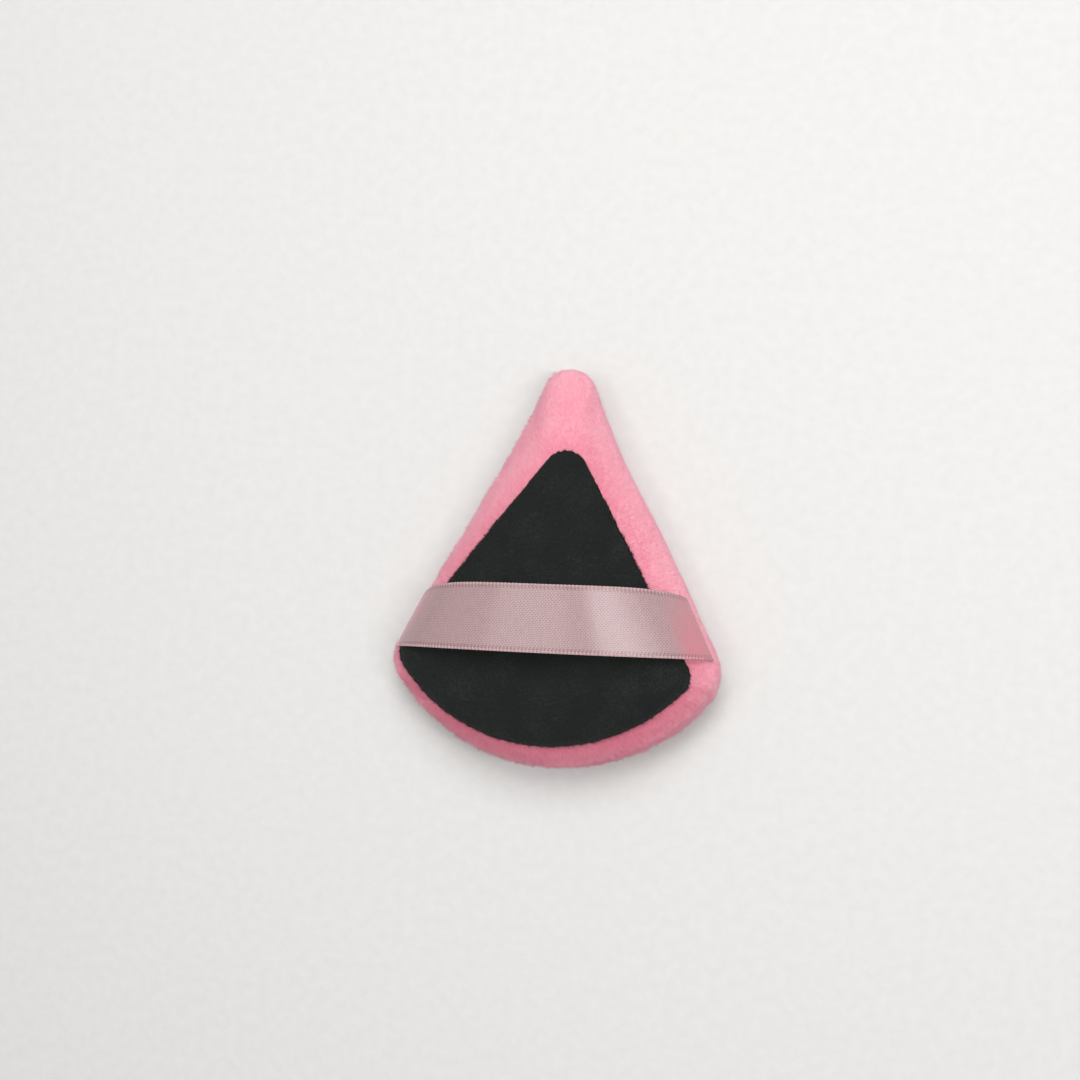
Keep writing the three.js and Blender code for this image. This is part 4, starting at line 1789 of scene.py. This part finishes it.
    def loop_row(self, over: Points, up: Points, along: Points) -> Mesh:
        """Set a point for each loop of the weft along both edges of one half.

        Args:
            over: Grid of the half's upper side.
            up: Upward direction on the same grid.
            along: Distance from the crown on the same grid.

        Returns:
            Mesh of the points, with their directions up and across.
        """
        spots, ups, acrosses = [], [], []
        for edge, inward in ((0, 1.0), (-1, -1.0)):
            way = along[edge, ::-1]
            reach = np.arange(self.loop_pitch / 2, way[-1] - self.tail - self.loops_short, self.loop_pitch)
            line, lift = (
                np.stack([np.interp(reach, way, axis[::-1]) for axis in grid[edge].T], 1)
                for grid in (over, up)
            )
            line[:, 1] += inward * self.loop_inset
            spots.append(line)
            ups.append(unit(lift))
            acrosses.append(np.broadcast_to((0.0, inward, 0.0), line.shape))
        mesh = new_mesh("loop_row", np.concatenate(spots) - self.loop_sunk * np.concatenate(ups), [], [])
        mark(mesh, "up", np.concatenate(ups))
        mark(mesh, "across", np.concatenate(acrosses))
        return mesh


@dataclass
class Sewing:
    """Threads in the seam: the machine seam, the hand-closed stretch and the tacks of the strap."""

    form: Padding
    diameter: float = 0.35 * MM
    lane: float = -0.3 * MM  # its place across the seam's gap
    seam_line: float = 1.2 * MM  # depth of the machine seam behind the seam's mouth
    closing_length: float = 32 * MM  # stretch of the base that is closed by hand
    closing_stitch: float = 2 * MM
    closing_depth: float = 1 * MM
    tack_length: float = 12 * MM
    tack_stitch: float = 1.2 * MM
    tack_depth: float = 0.8 * MM
    tack_spacing: float = 0.9 * MM  # from the machine seam to a tack
    twist: float = 1.1 * MM  # length of one full twist
    twist_steps: int = 8

    def build(self, tree: ThreadTree) -> list[Piece]:
        """Lay every thread.

        Args:
            tree: The tree that lays a thread along a line.

        Returns:
            The pieces.
        """
        finish = SEWING_THREAD.material()
        routes = {
            "edge_seam": ("edge_seam_thread", self.machine_seam()),
            "closing_seam": ("closing_seam_thread", self.hand_seam()),
            "tack_left": ("left_strap_tack", self.tack(Side.LEFT)),
            "tack_right": ("right_strap_tack", self.tack(Side.RIGHT)),
        }
        step, turns = self.twist / self.twist_steps, 2 * math.pi / self.twist
        sizes = {"Diameter": self.diameter, "Step": step, "Turns": turns}
        pieces = []
        for name, (node, route) in routes.items():
            line = new_mesh(name, route, [], [(k, k + 1) for k in range(len(route) - 1)])
            pieces.append(on_pad(tree.run(name, line, Finish=finish, **sizes), node))
        return pieces

    def right_half(self, depth: float) -> Points:
        """Draw the right half of the thread's ring at a depth of the seam, from the base to the tip."""
        return self.form.seam_ring(depth, self.lane)[: len(self.form.outline.half(0.0))]

    def machine_seam(self) -> Points:
        """Draw the seam from one end of the hand-closed stretch round the tip to the other.

        Returns:
            Points of the route.
        """
        ring = self.right_half(self.seam_line)
        right = ring[np.argmax(ring[:, 0] > self.closing_length / 2) :]
        return np.concatenate([right, right[-2::-1] * (-1, 1, 1)])

    def zigzag(self, places: Points, depths: tuple[float, float], axis: int) -> Points:
        """Draw a zigzag between two depths of the seam.

        Args:
            places: Places of its turns on an axis.
            depths: The two depths.
            axis: 0 where it runs along the base and 1 where it runs along the right side.

        Returns:
            Points of the route.
        """
        points = []
        for k, place in enumerate(places):
            ring = self.right_half(depths[k % 2])
            if axis == 0:
                ring = np.concatenate([ring[:0:-1] * (-1, 1, 1), ring])
                ring = ring[np.abs(ring[:, 0]) <= self.closing_length]
                ring = ring[ring[:, 1] < self.form.crown[1]]
            points.append([np.interp(place, ring[:, axis], ring[:, other]) for other in range(3)])
        return np.array(points)

    def hand_seam(self) -> Points:
        """Draw the hand-closed stretch of the base.

        Returns:
            Points of the route.
        """
        turns = round(self.closing_length / self.closing_stitch)
        reach = self.closing_length / 2 * (1 - 1 / turns)
        depths = (self.seam_line - self.closing_depth / 2, self.seam_line + self.closing_depth / 2)
        return self.zigzag(np.linspace(-reach, reach, turns), depths, axis=0)

    def tack(self, side: Side) -> Points:
        """Draw the zigzag that locks one end of the strap.

        Args:
            side: The strap's end.

        Returns:
            Points of the route.
        """
        near, reach = self.seam_line + self.tack_spacing, self.tack_length / 2
        turns = round(self.tack_length / self.tack_stitch)
        places = float(self.form.crown[1]) + np.linspace(-reach, reach, turns)
        return self.zigzag(places, (near, near + self.tack_depth), axis=1) * (side.value, 1, 1)


@dataclass
class Studio:
    """Pale floor, soft light and the camera."""

    target: tuple[float, float, float] = (0.0, 0.0, 8.5 * MM)  # point that camera and lamps look at
    distance: float = 420 * MM
    tilt: float = math.radians(12)  # how far the camera stands over to the right
    pitch: float = math.radians(0.5)  # how far it stands over to the tip
    roll: float = math.radians(3.2)  # how far it is turned about its own axis
    lens: float = 62.0  # in millimetres
    shift: tuple[float, float] = (-0.0197, 0.027)
    floor_size: float = 3.0
    ambient: float = 0.28  # strength of the even light from all round
    lamps: ClassVar[dict[str, tuple[tuple[float, float, float], tuple[float, float], float]]] = {
        "key": ((0.1, 0.45, 0.75), (0.5, 0.5), 4.0),  # place, size and watts
        "fill": ((0.25, 0.2, 0.72), (0.6, 0.6), 0.5),
        "glow": ((-0.21, 0.04, 0.7), (0.3, 0.3), 0.85),
        "strip": ((0.285, 0.0, 0.7), (0.025, 0.5), 2.1),
    }

    def build(self) -> None:
        """Build the floor, the lights and the camera."""
        scene = bpy.context.scene
        corners = np.array([(-1, -1, 0), (1, -1, 0), (1, 1, 0), (-1, 1, 0)]) * (self.floor_size / 2)
        add_object("floor", new_mesh("floor", corners, [(0, 1, 2, 3)], []), FLOOR.material())
        scene.world = bpy.data.worlds.new("soft_room")
        scene.world.use_nodes = True
        background = scene.world.node_tree.nodes["Background"].inputs
        background["Color"].default_value = (1.0, 1.0, 1.0, 1.0)
        background["Strength"].default_value = self.ambient
        for name, (place, size, watts) in self.lamps.items():
            light = bpy.data.lights.new(name, "AREA")
            light.energy, light.shape = watts, "RECTANGLE"
            light.size, light.size_y = size
            lamp = bpy.data.objects.new(name, light)
            lamp.location = place
            lamp.rotation_mode = "QUATERNION"
            lamp.rotation_quaternion = (Vector(self.target) - Vector(place)).to_track_quat("-Z", "Y")
            scene.collection.objects.link(lamp)
        self.camera()
        scene.view_settings.view_transform = "Standard"

    def camera(self) -> None:
        """Set up the camera."""
        lens = bpy.data.cameras.new("camera")
        lens.lens = self.lens
        lens.shift_x, lens.shift_y = self.shift
        lens.clip_start = 0.01
        camera = bpy.data.objects.new("camera", lens)
        back = Vector((math.sin(self.tilt), math.sin(self.pitch), 0.0))
        back.z = math.sqrt(1 - back.length_squared)
        right = Vector((0, 1, 0)).cross(back).normalized()
        turned = Matrix((right, back.cross(right), back)).transposed() @ Matrix.Rotation(self.roll, 3, "Z")
        camera.matrix_world = Matrix.LocRotScale(Vector(self.target) + back * self.distance, turned, None)
        bpy.context.scene.collection.objects.link(camera)
        bpy.context.scene.camera = camera


def main() -> None:
    """Build the puff from its sub-assemblies, then the studio round it, and log each piece's faces."""
    logging.basicConfig(level=logging.INFO, format="%(name)s: %(message)s")
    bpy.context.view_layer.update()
    piles, stitches, threads = PileTree(), StitchTree(), ThreadTree()
    strap = RibbonStrap(PUFF)
    panel = VelvetPanel(
        form=PUFF,
        pile=Pile(
            length=0.65 * MM,
            thickness=0.1 * MM,
            lean=0.3,
            stray=0.3,
            tuft=0.8,
            tufts=1600.0,
            tone=0.42,
            patches=((0.1, 9 * MM), (0.08, 2.5 * MM)),
        ),
        outline=RoundTriangle(
            length=65.6 * MM,
            width=66.6 * MM,
            tip_radius=5.2 * MM,
            corner_radius=5 * MM,
            corner_height=18.2 * MM,
            tip_lean=math.radians(34),
            corner_lean=math.radians(34),
            steps=(64, 26, 80, 20),
        ),
    )
    pad = VelourPad(
        form=PUFF,
        pile=Pile(
            length=0.95 * MM,
            thickness=0.15 * MM,
            lean=1.9,
            stray=0.4,
            tuft=0.9,
            tufts=1500.0,
            tone=0.46,
            patches=((0.03, 11 * MM), (0.03, 3.5 * MM)),
        ),
    )
    pieces = pad.build(piles, panel, strap) + panel.build(piles) + strap.build(stitches, panel)
    for piece in pieces + Sewing(PUFF).build(threads):
        LOG.info("%s: %d faces", piece.name, len(piece.data.polygons))
    Studio().build()


if __name__ == "__main__":
    main()
